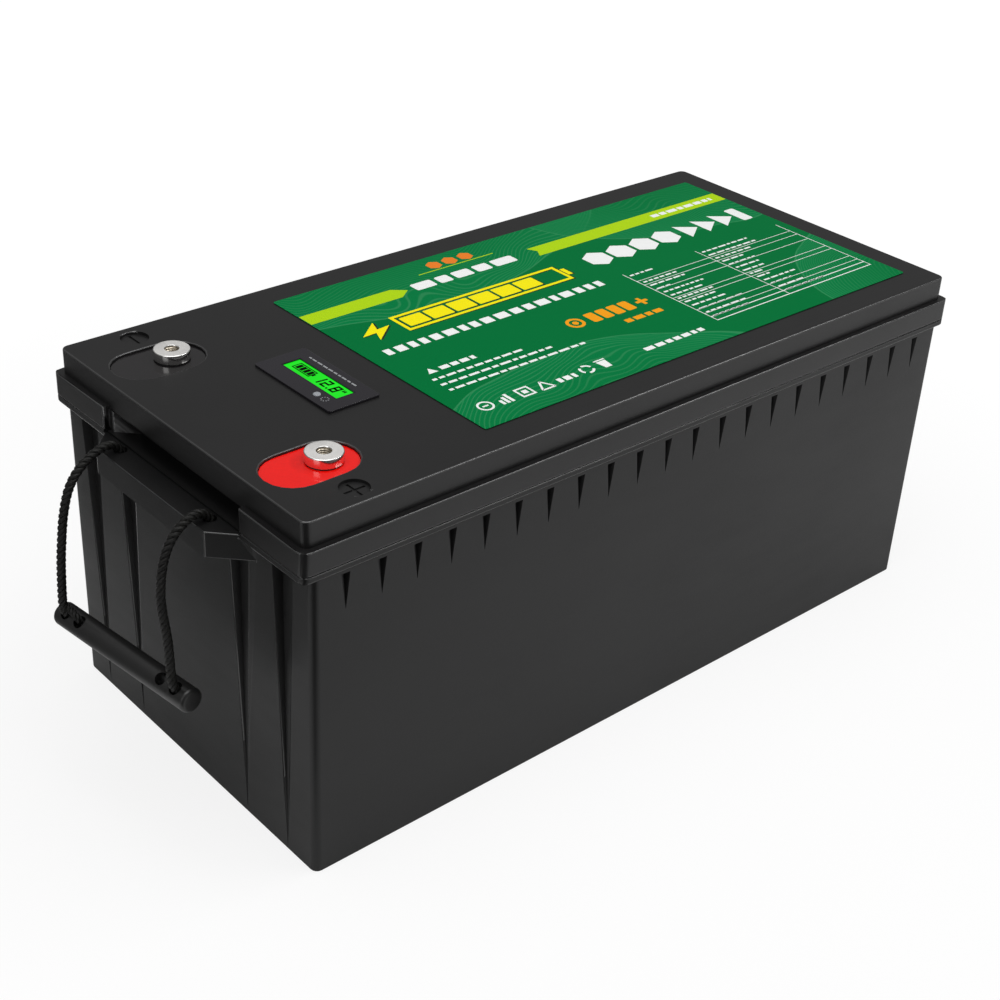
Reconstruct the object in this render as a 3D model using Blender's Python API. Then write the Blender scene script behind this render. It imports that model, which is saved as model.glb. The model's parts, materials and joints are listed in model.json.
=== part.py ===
# Deep cycle battery: a 12 V lithium iron phosphate block in a large moulded case,
# with its cells, wiring and battery management board (BMS) inside.
# Frame: +X along the case, +Y across it, +Z up. The origin is the middle of the
# underside. The terminals are at the -X ("front") end, the negative one on +Y.
#
# Lengths are in millimetres. Cutters run a little past the faces they open, and
# joined parts overlap a little. `end` is +1 at the rear (+X) and -1 at the front;
# `side` is +1 on the negative (+Y) side and -1 on the positive side.
import bpy
import bmesh
from math import pi, sin, cos, radians
from mathutils import Vector, Matrix

MM = 0.001

# ---------------------------------------------------------------- shared dimensions
# half sizes, unless the name says otherwise
RIM_X, RIM_Y = 261.0, 123.0          # outside of the lid's skirt and the tub's flange
BAND_X, BAND_Y = 257.1, 119.4        # outside of the lid's top band
WALL_X, WALL_Y = 254.6, 122.0        # outside of the tub's walls
CAVITY_X, CAVITY_Y = 245.6, 115.6    # inside of the tub
LIP_X, LIP_Y = 251.6, 118.8          # outside of the tub's lip
CORNER_R = 4.5
RIM_CORNER_R = CORNER_R + 0.5
FLOOR_T = 4.0
FLANGE_Z0, FLANGE_Z1 = 193.3, 197.0
LIP_TOP = 206.0
SKIRT_Z0, SKIRT_Z1 = FLANGE_Z1 + 0.4, 211.5
LID_TOP = 226.7
LID_UNDER = LID_TOP - 4.0            # underside of the lid's top plate

# niche in each end of the lid, and the bay in the tub that takes its shell
NICHE_X, NICHE_Y, NICHE_SPLAY = 244.0, 67.0, 15.0
NICHE_FLOOR, NICHE_CEIL = 196.6, 209.5
SHELL_X, SHELL_Y, SHELL_Z0 = 241.5, 66.5, 193.7
BAY_GAP = 0.5
BAY_X, BAY_Y, BAY_Z0 = SHELL_X - BAY_GAP, SHELL_Y + BAY_GAP, SHELL_Z0 - BAY_GAP

# rope ledge on each end
LEDGE_X, LEDGE_Y, LEDGE_CHAMFER = 273.7, 54.0, 12.7
LEDGE_Z0, LEDGE_Z1 = 180.0, 195.6
ROPE_X, ROPE_Y = 263.8, 44.6         # rope holes in the ledge

# terminals
TERM_X, TERM_Y = -211.5, 73.0
CUP_X, CUP_HALF_LENGTH, CUP_R = -220.5, 10.4, 18.0
SHANK_Z0 = 200.0

# capacity meter
METER_X0, METER_X1, METER_Y = -181.0, -146.0, 35.8

# cells
CELL_T, CELL_W, CELL_H = 72.0, 174.0, 204.8
CELL_N, CELL_X0, CELL_PITCH, CELL_Z0 = 4, -62.0, 73.4, 7.6
CELL_TOP = CELL_Z0 + CELL_H
STUD_Y, STUD_R = 61.0, 2.9
BAR_HOLE_R = STUD_R + 0.4
BAR_Z, BAR_T = CELL_TOP + 1.9, 2.0
BUSBARS = ((0, 1), (1, -1), (2, 1))  # first cell joined, side


# ---------------------------------------------------------------- outlines
def rounded_rect(half_x, half_y, radius, steps, x=0.0, y=0.0):
    points = []
    for k, (sign_x, sign_y) in enumerate(((1, 1), (-1, 1), (-1, -1), (1, -1))):
        for i in range(steps + 1):
            angle = pi / 2 * (k + i / steps)
            points.append((x + sign_x * (half_x - radius) + radius * cos(angle),
                           y + sign_y * (half_y - radius) + radius * sin(angle)))
    return points


def stadium(x, y, half_length, radius, steps):
    points = []
    for sign, start in ((1, -pi / 2), (-1, pi / 2)):
        for i in range(steps + 1):
            angle = start + pi * i / steps
            points.append((x + sign * half_length + radius * cos(angle),
                           y + radius * sin(angle)))
    return points


def circle(x, y, radius, segments, phase=0.0):
    return [(x + radius * cos(2 * pi * i / segments + phase),
             y + radius * sin(2 * pi * i / segments + phase)) for i in range(segments)]


def lip_outline(half_x, half_y, radius, bay_x, bay_y):
    """Rounded rectangle with a step inward around each end's niche."""
    core = rounded_rect(half_x, half_y, radius, 3)
    return (core[:8] + [(-half_x, bay_y), (-bay_x, bay_y), (-bay_x, -bay_y), (-half_x, -bay_y)]
            + core[8:] + [(half_x, -bay_y), (bay_x, -bay_y), (bay_x, bay_y), (half_x, bay_y)])


# ---------------------------------------------------------------- solids
def new_object(name, shape, mat=None, smooth=False):
    bmesh.ops.recalc_face_normals(shape, faces=shape.faces)
    mesh = bpy.data.meshes.new(name)
    shape.to_mesh(mesh)
    shape.free()
    obj = bpy.data.objects.new(name, mesh)
    bpy.context.scene.collection.objects.link(obj)
    if mat is not None:
        mesh.materials.append(mat)
    if smooth:
        mesh.shade_smooth()
        mesh.set_sharp_from_angle(angle=radians(35))
    return obj


def bridge(shape, first, second):
    """Faces between two rings of vertices; a ring of one vertex is a pole."""
    count = max(len(first), len(second))
    for i in range(count):
        j = (i + 1) % count
        if len(first) == 1:
            shape.faces.new((first[0], second[i], second[j]))
        elif len(second) == 1:
            shape.faces.new((first[i], first[j], second[0]))
        else:
            shape.faces.new((first[i], first[j], second[j], second[i]))


def skin(shape, rings):
    """Closed skin through the rings, capped at both ends."""
    for first, second in zip(rings, rings[1:]):
        bridge(shape, first, second)
    shape.faces.new(list(reversed(rings[0])))
    shape.faces.new(rings[-1])


def flat_ring(shape, outline, z):
    return [shape.verts.new((x * MM, y * MM, z * MM)) for x, y in outline]


def prism(name, outline, z0, z1, mat=None):
    shape = bmesh.new()
    skin(shape, [flat_ring(shape, outline, z) for z in (z0, z1)])
    return new_object(name, shape, mat)


def box(name, x0, x1, y0, y1, z0, z1, mat=None):
    """Box between two corners; x and y may be given in either order."""
    x0, x1 = sorted((x0, x1))
    y0, y1 = sorted((y0, y1))
    return prism(name, [(x0, y0), (x1, y0), (x1, y1), (x0, y1)], z0, z1, mat)


def loft(name, rings, mat=None, smooth=False):
    """Closed solid through rings of equal point count."""
    shape = bmesh.new()
    skin(shape, [[shape.verts.new(Vector(point) * MM) for point in ring] for ring in rings])
    return new_object(name, shape, mat, smooth)


def lathe(name, profile, x, y, segments, mat=None):
    """Closed turned solid: the (radius, z) profile runs from the axis out and back to it."""
    shape = bmesh.new()
    rings = [flat_ring(shape, [(x, y)] if radius < 1e-6 else circle(x, y, radius, segments), z)
             for radius, z in profile]
    for first, second in zip(rings, rings[1:]):
        bridge(shape, first, second)
    return new_object(name, shape, mat, True)


def ring_lathe(name, profile, x, y, segments, mat):
    """Closed ring: the (radius, z) profile is a closed loop that never meets the axis."""
    shape = bmesh.new()
    rings = [flat_ring(shape, circle(x, y, radius, segments), z) for radius, z in profile]
    for first, second in zip(rings, rings[1:] + rings[:1]):
        bridge(shape, first, second)
    return new_object(name, shape, mat, True)


def catmull(points, steps):
    """Smooth path through a few guide points."""
    guide = [Vector(point) for point in points]
    guide = [guide[0] * 2 - guide[1]] + guide + [guide[-1] * 2 - guide[-2]]
    path = []
    for i in range(1, len(guide) - 2):
        p0, p1, p2, p3 = guide[i - 1:i + 3]
        for k in range(steps):
            f = k / steps
            path.append(0.5 * ((2 * p1) + (p2 - p0) * f
                               + (2 * p0 - 5 * p1 + 4 * p2 - p3) * f * f
                               + (3 * p1 - p0 - 3 * p2 + p3) * f ** 3))
    path.append(guide[-2])
    return path


def tube(name, path, radius, segments, mat=None):
    """Round bar along a path, capped flat at both ends."""
    points = [Vector(point) for point in path]
    last = len(points) - 1
    tangent = (points[1] - points[0]).normalized()
    reference = Vector((0, 1, 0)) if abs(tangent.y) < 0.9 else Vector((1, 0, 0))
    across = tangent.cross(reference).normalized()
    rings = []
    for i, point in enumerate(points):
        tangent = (points[min(i + 1, last)] - points[max(i - 1, 0)]).normalized()
        across = (across - tangent * across.dot(tangent)).normalized()
        other = tangent.cross(across)
        rings.append([point + (across * cos(2 * pi * k / segments)
                               + other * sin(2 * pi * k / segments)) * radius
                      for k in range(segments)])
    return loft(name, rings, mat, True)


# ---------------------------------------------------------------- booleans and finish
def bake(obj):
    """Replace the mesh by the result of its modifiers."""
    depsgraph = bpy.context.evaluated_depsgraph_get()
    depsgraph.update()
    mesh = bpy.data.meshes.new_from_object(obj.evaluated_get(depsgraph), depsgraph=depsgraph)
    obj.modifiers.clear()
    old = obj.data
    obj.data = mesh
    mesh.name = obj.name
    bpy.data.meshes.remove(old)


def combine(obj, others, operation):
    for other in others:
        modifier = obj.modifiers.new('combine', 'BOOLEAN')
        modifier.operation = operation
        modifier.solver = 'EXACT'
        modifier.object = other
        bake(obj)
        bpy.data.objects.remove(other, do_unlink=True)


def cut(obj, *others):
    combine(obj, others, 'DIFFERENCE')


def join(obj, *others):
    combine(obj, others, 'UNION')


def merge_meshes(name, objects):
    """Several separate cutters in one object."""
    shape = bmesh.new()
    for obj in objects:
        shape.from_mesh(obj.data)
        bpy.data.objects.remove(obj, do_unlink=True)
    return new_object(name, shape)


def finish(obj, name, mat, smooth=True, angle=35):
    """Name the piece, give it its only material and tidy the boolean result."""
    obj.name = name
    mesh = obj.data
    mesh.name = name
    mesh.materials.clear()
    mesh.materials.append(mat)
    shape = bmesh.new()
    shape.from_mesh(mesh)
    bmesh.ops.remove_doubles(shape, verts=shape.verts, dist=1e-7)
    bmesh.ops.dissolve_limit(shape, angle_limit=radians(0.05),
                             verts=shape.verts, edges=shape.edges)
    shape.to_mesh(mesh)
    shape.free()
    if smooth:
        mesh.shade_smooth()
        mesh.set_sharp_from_angle(angle=radians(angle))


# ---------------------------------------------------------------- materials
def material(name, rgb, rough, metal=0.0):
    mat = bpy.data.materials.new(name)
    mat.use_nodes = True
    inputs = mat.node_tree.nodes['Principled BSDF'].inputs
    inputs['Base Color'].default_value = (*rgb, 1.0)
    inputs['Roughness'].default_value = rough
    inputs['Metallic'].default_value = metal
    mat.diffuse_color = (*rgb, 1.0)
    return mat


M_CASE = material('abs_black', rgb=(0.020, 0.020, 0.021), rough=0.42)
M_LID = material('abs_black_lid', rgb=(0.020, 0.020, 0.021), rough=0.36)
M_RED = material('terminal_red', rgb=(0.75, 0.012, 0.010), rough=0.18)
M_BLACK = material('terminal_black', rgb=(0.012, 0.012, 0.014), rough=0.14)
M_TIN = material('tinned_copper', rgb=(0.80, 0.79, 0.76), rough=0.22, metal=1.0)
M_STEEL = material('zinc_steel', rgb=(0.62, 0.63, 0.65), rough=0.30, metal=1.0)
M_RUBBER = material('seal_rubber', rgb=(0.015, 0.015, 0.015), rough=0.70)
M_SEALANT = material('joint_sealant', rgb=(0.02, 0.02, 0.02), rough=0.55)
M_LABEL = material('label_film', rgb=(0.006, 0.190, 0.065), rough=0.30)
M_BEZEL = material('meter_bezel_black', rgb=(0.012, 0.012, 0.013), rough=0.28)
M_DISPLAY = material('meter_display_green', rgb=(0.02, 0.72, 0.03), rough=0.15)
M_KEY = material('meter_key_grey', rgb=(0.36, 0.37, 0.38), rough=0.45)
M_BOARD = material('circuit_board_green', rgb=(0.01, 0.11, 0.045), rough=0.40)
M_WIRE = material('harness_wire', rgb=(0.03, 0.03, 0.03), rough=0.50)
M_GRIP = material('grip_polypropylene', rgb=(0.030, 0.030, 0.031), rough=0.34)
M_ROPE = material('handle_rope', rgb=(0.022, 0.022, 0.021), rough=0.80)
M_CELL = material('cell_film_blue', rgb=(0.010, 0.085, 0.30), rough=0.35)
M_ALU = material('aluminium', rgb=(0.76, 0.77, 0.78), rough=0.33, metal=1.0)
M_FIBRE = material('fibre_board', rgb=(0.45, 0.40, 0.13), rough=0.55)
M_FOAM = material('eva_foam', rgb=(0.035, 0.035, 0.037), rough=0.92)
M_STRAP = material('strap_steel', rgb=(0.50, 0.51, 0.53), rough=0.35, metal=1.0)
M_RED_CABLE = material('cable_red', rgb=(0.55, 0.012, 0.010), rough=0.45)
M_BLACK_CABLE = material('cable_black', rgb=(0.018, 0.018, 0.018), rough=0.45)
M_PLUG = material('plug_white', rgb=(0.78, 0.76, 0.70), rough=0.45)


# ---------------------------------------------------------------- the tub
PROUD = 0.6                          # how far wall cutters stand outside the wall
CAVITY_R = 4.0
MOUTH_Z = 180.0                      # the opening steps round the bays above this
BAY_WALL = 3.2
# end wall grooves: tip positions across the wall, widths at the top
GROOVE_Y = (56.5, 96.0)
GROOVE_W, GROOVE_FLOOR_W, GROOVE_D = 19.0, 15.0, 5.5
GROOVE_Z0, GROOVE_Z1 = 4.0, 192.0
# side wall notches, widths at the top
NOTCH_N, NOTCH_PITCH, NOTCH_SHIFT = 21, 23.25, -1.5
NOTCH_W, NOTCH_D = 5.8, 3.8
NOTCH_Z0, NOTCH_Z1 = 169.0, 190.8
ROPE_HOLE_R, KNOT_BORE_R, KNOT_BORE_ROOF = 3.9, 7.0, 4.5


def groove_cutter(end, y):
    """Wedge groove in an end wall: widest and deepest at the top, a tip at the bottom."""
    rings = []
    for level in (0.0, 0.25, 0.5, 0.75, 1.0):
        share = max(level, 0.02)
        z = GROOVE_Z0 + (GROOVE_Z1 - GROOVE_Z0) * level
        mouth, floor = GROOVE_W / 2 * share, GROOVE_FLOOR_W / 2 * share
        depth = GROOVE_D * share
        outer = mouth + (mouth - floor) / depth * PROUD
        x_out, x_in = end * (WALL_X + PROUD), end * (WALL_X - depth)
        rings.append([(x_out, y - outer, z), (x_out, y + outer, z),
                      (x_in, y + floor, z), (x_in, y - floor, z)])
    return loft('groove', rings)


def notch_cutter(x, side):
    """Wedge notch in a side wall, with its point at the bottom."""
    rings = []
    for level in (0.0, 1.0):
        share = max(level, 0.04)
        z = NOTCH_Z0 + (NOTCH_Z1 - NOTCH_Z0) * level
        mouth, depth = NOTCH_W / 2 * share, NOTCH_D * share
        outer = mouth + mouth / depth * PROUD * 0.5
        floor = mouth * 0.35
        y_out, y_in = side * (WALL_Y + PROUD), side * (WALL_Y - depth)
        rings.append([(x - outer, y_out, z), (x + outer, y_out, z),
                      (x + floor, y_in, z), (x - floor, y_in, z)])
    return loft('notch', rings)


def ledge_outline(end):
    root_x = WALL_X - 1.0
    root_y = LEDGE_Y + LEDGE_X - root_x
    shoulder_x, shoulder_y = LEDGE_X - LEDGE_CHAMFER, LEDGE_Y + LEDGE_CHAMFER
    points = [(LEDGE_X, -LEDGE_Y), (LEDGE_X, LEDGE_Y), (shoulder_x, shoulder_y),
              (root_x, root_y), (root_x, -root_y), (shoulder_x, -shoulder_y)]
    return [(end * x, y) for x, y in points]


def make_tub():
    tub = prism('case_tub', rounded_rect(WALL_X, WALL_Y, CORNER_R, 4), 0.0, FLANGE_Z1 - 0.5)
    join(tub,
         prism('flange', rounded_rect(RIM_X, RIM_Y, RIM_CORNER_R, 4), FLANGE_Z0, FLANGE_Z1),
         prism('lip', lip_outline(LIP_X, LIP_Y, 3.0, BAY_X, BAY_Y), 188.0, LIP_TOP))
    for end in (1, -1):
        join(tub, prism('ledge', ledge_outline(end), LEDGE_Z0, LEDGE_Z1))
    cut(tub,
        prism('cavity', rounded_rect(CAVITY_X, CAVITY_Y, CAVITY_R, 3), FLOOR_T, MOUTH_Z),
        prism('mouth', lip_outline(CAVITY_X, CAVITY_Y, CAVITY_R,
                                   BAY_X - BAY_WALL, BAY_Y + BAY_WALL),
              MOUTH_Z - 0.5, LIP_TOP + 2))
    for end in (1, -1):
        cut(tub,
            box('bay', end * (RIM_X - 1.6), end * BAY_X, -BAY_Y, BAY_Y, BAY_Z0, LIP_TOP + 3),
            box('bay_front', end * (RIM_X - 1.8), end * (RIM_X + 20.0),
                -NICHE_Y - 1.5, NICHE_Y + 1.5, LEDGE_Z1, LIP_TOP + 3))
    cut(tub, merge_meshes('grooves', [groove_cutter(end, side * y) for end in (1, -1)
                                      for y in GROOVE_Y for side in (1, -1)]))
    # the ledge is put back where a groove ran through it
    for end in (1, -1):
        join(tub, box('ledge_root', end * (WALL_X - GROOVE_D - 0.8), end * (WALL_X + 1.0),
                      -LEDGE_Y - 8.0, LEDGE_Y + 8.0, LEDGE_Z0 + 0.4, BAY_Z0))
    cut(tub, merge_meshes('notches', [
        notch_cutter((k - (NOTCH_N - 1) / 2) * NOTCH_PITCH + NOTCH_SHIFT, side)
        for k in range(NOTCH_N) for side in (1, -1)]))
    for x in (ROPE_X, -ROPE_X):
        for y in (ROPE_Y, -ROPE_Y):
            cut(tub,
                prism('rope_hole', circle(x, y, ROPE_HOLE_R, 16), LEDGE_Z0 - 5, LEDGE_Z1 + 5),
                prism('knot_bore', circle(x, y, KNOT_BORE_R, 16),
                      LEDGE_Z0 - 5, LEDGE_Z1 - KNOT_BORE_ROOF))
    finish(tub, 'case_tub', M_CASE)


# ---------------------------------------------------------------- the lid
LIP_FIT = 0.4
GROOVE_H = 2.4                       # sealant groove above the tub's lip
POCKET_Z = 218.2                     # floor of the terminal pockets
# polarity marks: a round recess with a deeper bar or cross in it
MARK_X, MARK_Y, MARK_R = -216.5, 105.5, 8.4
MARK_Z = LID_TOP - 1.7
STROKE_HALF_L, STROKE_HALF_W = 6.6, 0.8
STROKE_Z = MARK_Z - 0.8


def niche_outline(end):
    inner_y = NICHE_Y - NICHE_SPLAY
    points = [(RIM_X + 3.0, NICHE_Y + 3.0), (RIM_X - NICHE_SPLAY, inner_y), (NICHE_X, inner_y),
              (NICHE_X, -inner_y), (RIM_X - NICHE_SPLAY, -inner_y),
              (RIM_X + 3.0, -NICHE_Y - 3.0)]
    return [(end * x, y) for x, y in points]


def stroke(y, half_x, half_y):
    return box('stroke', MARK_X - half_x, MARK_X + half_x, y - half_y, y + half_y,
               STROKE_Z, LID_TOP + 5)


def make_lid():
    lid = prism('lid', rounded_rect(RIM_X, RIM_Y, RIM_CORNER_R, 4), SKIRT_Z0, SKIRT_Z1)
    join(lid, prism('band', rounded_rect(BAND_X, BAND_Y, CORNER_R, 4), SKIRT_Z1 - 2.0, LID_TOP))
    cut(lid,
        prism('lip_room', lip_outline(LIP_X + LIP_FIT, LIP_Y + LIP_FIT, 3.2, SHELL_X, SHELL_Y),
              SKIRT_Z0 - 1, LIP_TOP + LIP_FIT),
        prism('hollow', lip_outline(LIP_X - 3.0, LIP_Y - 4.6, 4.0, SHELL_X, SHELL_Y),
              LIP_TOP, LID_UNDER),
        prism('bead_groove',
              lip_outline(LIP_X - 0.6, LIP_Y - 0.5, 3.0, SHELL_X - 1.2, SHELL_Y + 1.2),
              LIP_TOP, LIP_TOP + GROOVE_H))
    for end in (1, -1):
        join(lid, box('niche_floor', end * (RIM_X - 2.0), end * SHELL_X, -SHELL_Y, SHELL_Y,
                      SHELL_Z0, SKIRT_Z0 + 1.0))
        cut(lid,
            box('rim_gap', end * BAND_X, end * (RIM_X + 5), -NICHE_Y, NICHE_Y,
                NICHE_FLOOR, SKIRT_Z1 + 1.0),
            prism('niche', niche_outline(end), NICHE_FLOOR, NICHE_CEIL),
            box('over_niche', end * 251.0, end * 240.0, -60.0, 60.0,
                NICHE_CEIL + 3.0, LID_UNDER))
    for side in (1, -1):
        cut(lid,
            prism('pocket', stadium(CUP_X, side * TERM_Y, CUP_HALF_LENGTH, CUP_R, 10),
                  POCKET_Z, LID_TOP + 5),
            prism('mark', circle(MARK_X, side * MARK_Y, MARK_R, 24), MARK_Z, LID_TOP + 5),
            stroke(side * MARK_Y, STROKE_HALF_W, STROKE_HALF_L))
    # the second stroke makes the positive side's cross
    cut(lid, stroke(-MARK_Y, STROKE_HALF_L, STROKE_HALF_W))
    cut(lid, box('meter_window', METER_X0 + 1.7, METER_X1 - 1.7, -METER_Y + 2.4, METER_Y - 2.4,
                 LID_TOP - 10, LID_TOP + 5))
    finish(lid, 'lid', M_LID)


def make_bead():
    """Sealant bead that lies in the lid's groove."""
    bead = prism('lid_sealant_bead',
                 lip_outline(LIP_X - 1.0, LIP_Y - 0.9, 3.0, SHELL_X - 1.6, SHELL_Y + 1.6),
                 LIP_TOP + 0.3, LIP_TOP + GROOVE_H - 0.3)
    cut(bead, prism('inner',
                    lip_outline(LIP_X - 2.6, LIP_Y - 2.4, 2.6, SHELL_X - 3.0, SHELL_Y + 3.0),
                    LIP_TOP - 1, LIP_TOP + 4))
    finish(bead, 'lid_sealant_bead', M_SEALANT)


def make_label():
    x0, x1, half_y = -124.3, 239.4, 99.4
    prism('top_label', rounded_rect((x1 - x0) / 2, half_y, 1.5, 3, (x0 + x1) / 2),
          LID_TOP + 0.25, LID_TOP + 0.5, M_LABEL)


# ---------------------------------------------------------------- terminals
CUP_Z0, CUP_Z1 = 219.0, 225.1
POST_R, POST_Z0, POST_Z1, POST_CHAMFER = 10.6, 225.7, 231.5, 0.5
SHANK_R = 7.2
THREAD_R, THREAD_DEPTH = 3.9, 14.0   # M8 hole in the post's top
LUG_BOLT_HOLE_R, LUG_BOLT_R = 2.6, 2.3
SEAL_R, SEAL_WIRE_R = 8.85, 0.95
NUT_R, NUT_Z0, NUT_Z1 = 12.7, 210.6, 218.1


def make_cup(name, y, mat):
    cup = prism('cup', stadium(CUP_X, y, CUP_HALF_LENGTH, CUP_R - 0.3, 10), CUP_Z0, CUP_Z1)
    join(cup, prism('flange', rounded_rect(25.0, CUP_R + 3.0, 5.0, 3, CUP_X + 7.5, y),
                    POCKET_Z + 0.2, LID_UNDER - 0.4))
    cut(cup,
        prism('bore', circle(TERM_X, y, SHANK_R + 0.4, 24), 215, 230),
        prism('seal_seat', circle(TERM_X, y, 10.3, 24), CUP_Z1 - 2.0, 230))
    finish(cup, name, mat)


def make_post(name, y):
    """Flanged post with a threaded hole in the top and a bolt hole in the foot."""
    lathe(name, [
        (0.0, SHANK_Z0 + 11.0), (LUG_BOLT_HOLE_R, SHANK_Z0 + 11.0), (LUG_BOLT_HOLE_R, SHANK_Z0),
        (SHANK_R - 0.6, SHANK_Z0), (SHANK_R, SHANK_Z0 + 0.6), (SHANK_R, POST_Z0),
        (POST_R - 0.3, POST_Z0), (POST_R, POST_Z0 + 0.3), (POST_R, POST_Z1 - POST_CHAMFER),
        (POST_R - POST_CHAMFER, POST_Z1), (THREAD_R + 0.7, POST_Z1), (THREAD_R, POST_Z1 - 0.7),
        (THREAD_R, POST_Z1 - THREAD_DEPTH), (0.0, POST_Z1 - THREAD_DEPTH - 1.6)],
        TERM_X, y, 24, M_TIN)


def make_terminal(polarity, side, cup_mat):
    y = side * TERM_Y
    make_cup('terminal_cup_' + polarity, y, cup_mat)
    make_post('terminal_post_' + polarity, y)
    ring_lathe('terminal_o_ring_' + polarity, [
        (SEAL_R + SEAL_WIRE_R * cos(2 * pi * k / 6),
         CUP_Z1 - 0.75 + SEAL_WIRE_R * sin(2 * pi * k / 6)) for k in range(6)],
        TERM_X, y, 16, M_RUBBER)
    nut = prism('nut', circle(TERM_X, y, NUT_R, 6), NUT_Z0, NUT_Z1)
    cut(nut, prism('bore', circle(TERM_X, y, SHANK_R + 0.3, 24), 205, 225))
    finish(nut, 'terminal_nut_' + polarity, M_STEEL)
    # screw that clamps the cable lug under the post
    bolt = prism('lug_bolt', circle(TERM_X, y, 5.6, 6), 190.3, 194.3)
    join(bolt, prism('shank', circle(TERM_X, y, LUG_BOLT_R, 12), 194.0, SHANK_Z0 + 8.5))
    finish(bolt, 'lug_bolt_' + polarity, M_STEEL)


# ---------------------------------------------------------------- meter
METER_Z0, METER_Z1 = LID_TOP + 0.2, 228.1
DISPLAY_X0, DISPLAY_X1, DISPLAY_Y = -168.7, -156.3, 25.7
KEY_X, KEY_Y, KEY_R = -174.4, -15.5, 2.3
BOARD_Z0, BOARD_Z1 = 218.6, 220.2


def meter_box(name, inset_x, inset_y, z0, z1):
    return box(name, METER_X0 + inset_x, METER_X1 - inset_x,
               -METER_Y + inset_y, METER_Y - inset_y, z0, z1)


def make_bezel():
    bezel = prism('bezel', rounded_rect((METER_X1 - METER_X0) / 2, METER_Y, 1.6, 3,
                                        (METER_X0 + METER_X1) / 2), METER_Z0, METER_Z1)
    join(bezel, meter_box('frame', 2.0, 2.7, 215.0, METER_Z0 + 0.4))
    cut(bezel,
        meter_box('inside', 3.6, 4.3, 214.0, METER_Z0),
        box('window', DISPLAY_X0, DISPLAY_X1, -DISPLAY_Y, DISPLAY_Y, 222, 230),
        prism('key_hole', circle(KEY_X, KEY_Y, KEY_R + 0.3, 20), 222, 230))
    finish(bezel, 'meter_bezel', M_BEZEL)


def make_display():
    display = box('display', DISPLAY_X0 - 1.6, DISPLAY_X1 + 1.6,
                  -DISPLAY_Y - 2.0, DISPLAY_Y + 2.0, 223.8, METER_Z0 - 0.3)
    join(display, box('glass', DISPLAY_X0 + 0.3, DISPLAY_X1 - 0.3,
                      -DISPLAY_Y + 0.3, DISPLAY_Y - 0.3, METER_Z0 - 1.0, METER_Z1 - 0.5))
    finish(display, 'meter_display', M_DISPLAY)


def make_key():
    """Cap above, a collar below the bezel that keeps it in, and a stem to the switch."""
    lathe('meter_key', [
        (0.0, 222.6), (1.2, 222.6), (1.2, 225.4), (KEY_R + 0.7, 225.4), (KEY_R + 0.7, 226.3),
        (KEY_R, 226.3), (KEY_R, 228.3), (KEY_R - 0.4, 228.7), (0.0, 228.8)],
        KEY_X, KEY_Y, 14, M_KEY)


def make_meter_board():
    board = meter_box('board', 4.2, 5.0, BOARD_Z0, BOARD_Z1)
    join(board,
         box('display_socket', DISPLAY_X0, DISPLAY_X1, -20.0, 20.0, BOARD_Z1 - 0.2, 223.4),
         box('switch', KEY_X - 2.0, KEY_X + 2.0, KEY_Y - 2.0, KEY_Y + 2.0,
             BOARD_Z1 - 0.2, 221.6),
         box('plug', -160.0, -152.5, 12.0, 24.0, 213.5, BOARD_Z0 + 0.2))
    finish(board, 'meter_board', M_BOARD)


# ---------------------------------------------------------------- handles
GRIP_R, GRIP_L, GRIP_EDGE_R = 6.75, 116.6, 2.2
GRIP_CENTRE = (295.8, -2.6, 97.8)    # middle of the hanging grip; x is outward
# degrees off the cross axis, and how far the holes lean outward
GRIP_YAW, GRIP_TILT, GRIP_ROLL = 6.0, 0.7, 32.0
GRIP_HOLE_Y, GRIP_HOLE_PITCH, GRIP_HOLE_R = 49.0, 12.0, 3.9
ROPE_R, TAIL_R = 3.1, 2.3
KNOT_R, KNOT_Z, GRIP_KNOT_R = 6.0, 182.5, 5.0
KNOT_PROFILE = ((0.0, -1.0), (0.72, -0.75), (1.0, 0.0), (0.72, 0.75), (0.0, 1.0))

# how each rope leg hangs: (outward from its hole, up from the ledge's top)
LEG_START = ((0.0, -6.0), (0.0, -0.5), (4.6, 4.6), (13.0, 4.4))
LEG_POSITIVE = ((22.8, -3.2), (29.2, -14.3), (32.5, -28.0), (33.3, -41.0), (31.9, -62.0))
LEG_NEGATIVE = ((24.6, -2.2), (32.7, -13.0), (37.3, -28.0), (39.9, -45.0), (41.6, -62.0))
# its way through the grip's outer hole, in the grip's frame: (toward the case, up)
LEG_FEED = ((2.0, 13.5), (0.1, 7.2), (0.0, 1.0), (0.0, -7.0), (0.0, -12.0))
# loose tail on the grip, in the grip's frame: (toward the case, along, up)
TAIL = ((2.2, 48.5, 11.2), (1.9, 45.0, 9.9), (1.6, 41.6, 9.7),
        (1.0, 39.2, 9.3), (0.6, 38.0, 7.2), (0.4, 37.8, 3.0))


def grip_frame(end):
    """Rest placement of the grip: its long axis is nearly along Y."""
    x, y, z = GRIP_CENTRE
    turn = (Matrix.Rotation(radians(-end * GRIP_YAW), 4, 'Z')
            @ Matrix.Rotation(radians(-GRIP_TILT), 4, 'X')
            @ Matrix.Rotation(radians(end * GRIP_ROLL), 4, 'Y'))
    return Matrix.Translation(Vector((end * x, y, z)) * MM) @ turn


def on_grip(end, x, y, z):
    """Point given in the grip's frame, x toward the case, as a place in the scene."""
    return grip_frame(end) @ (Vector((-end * x, y, z)) * MM) / MM


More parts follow.
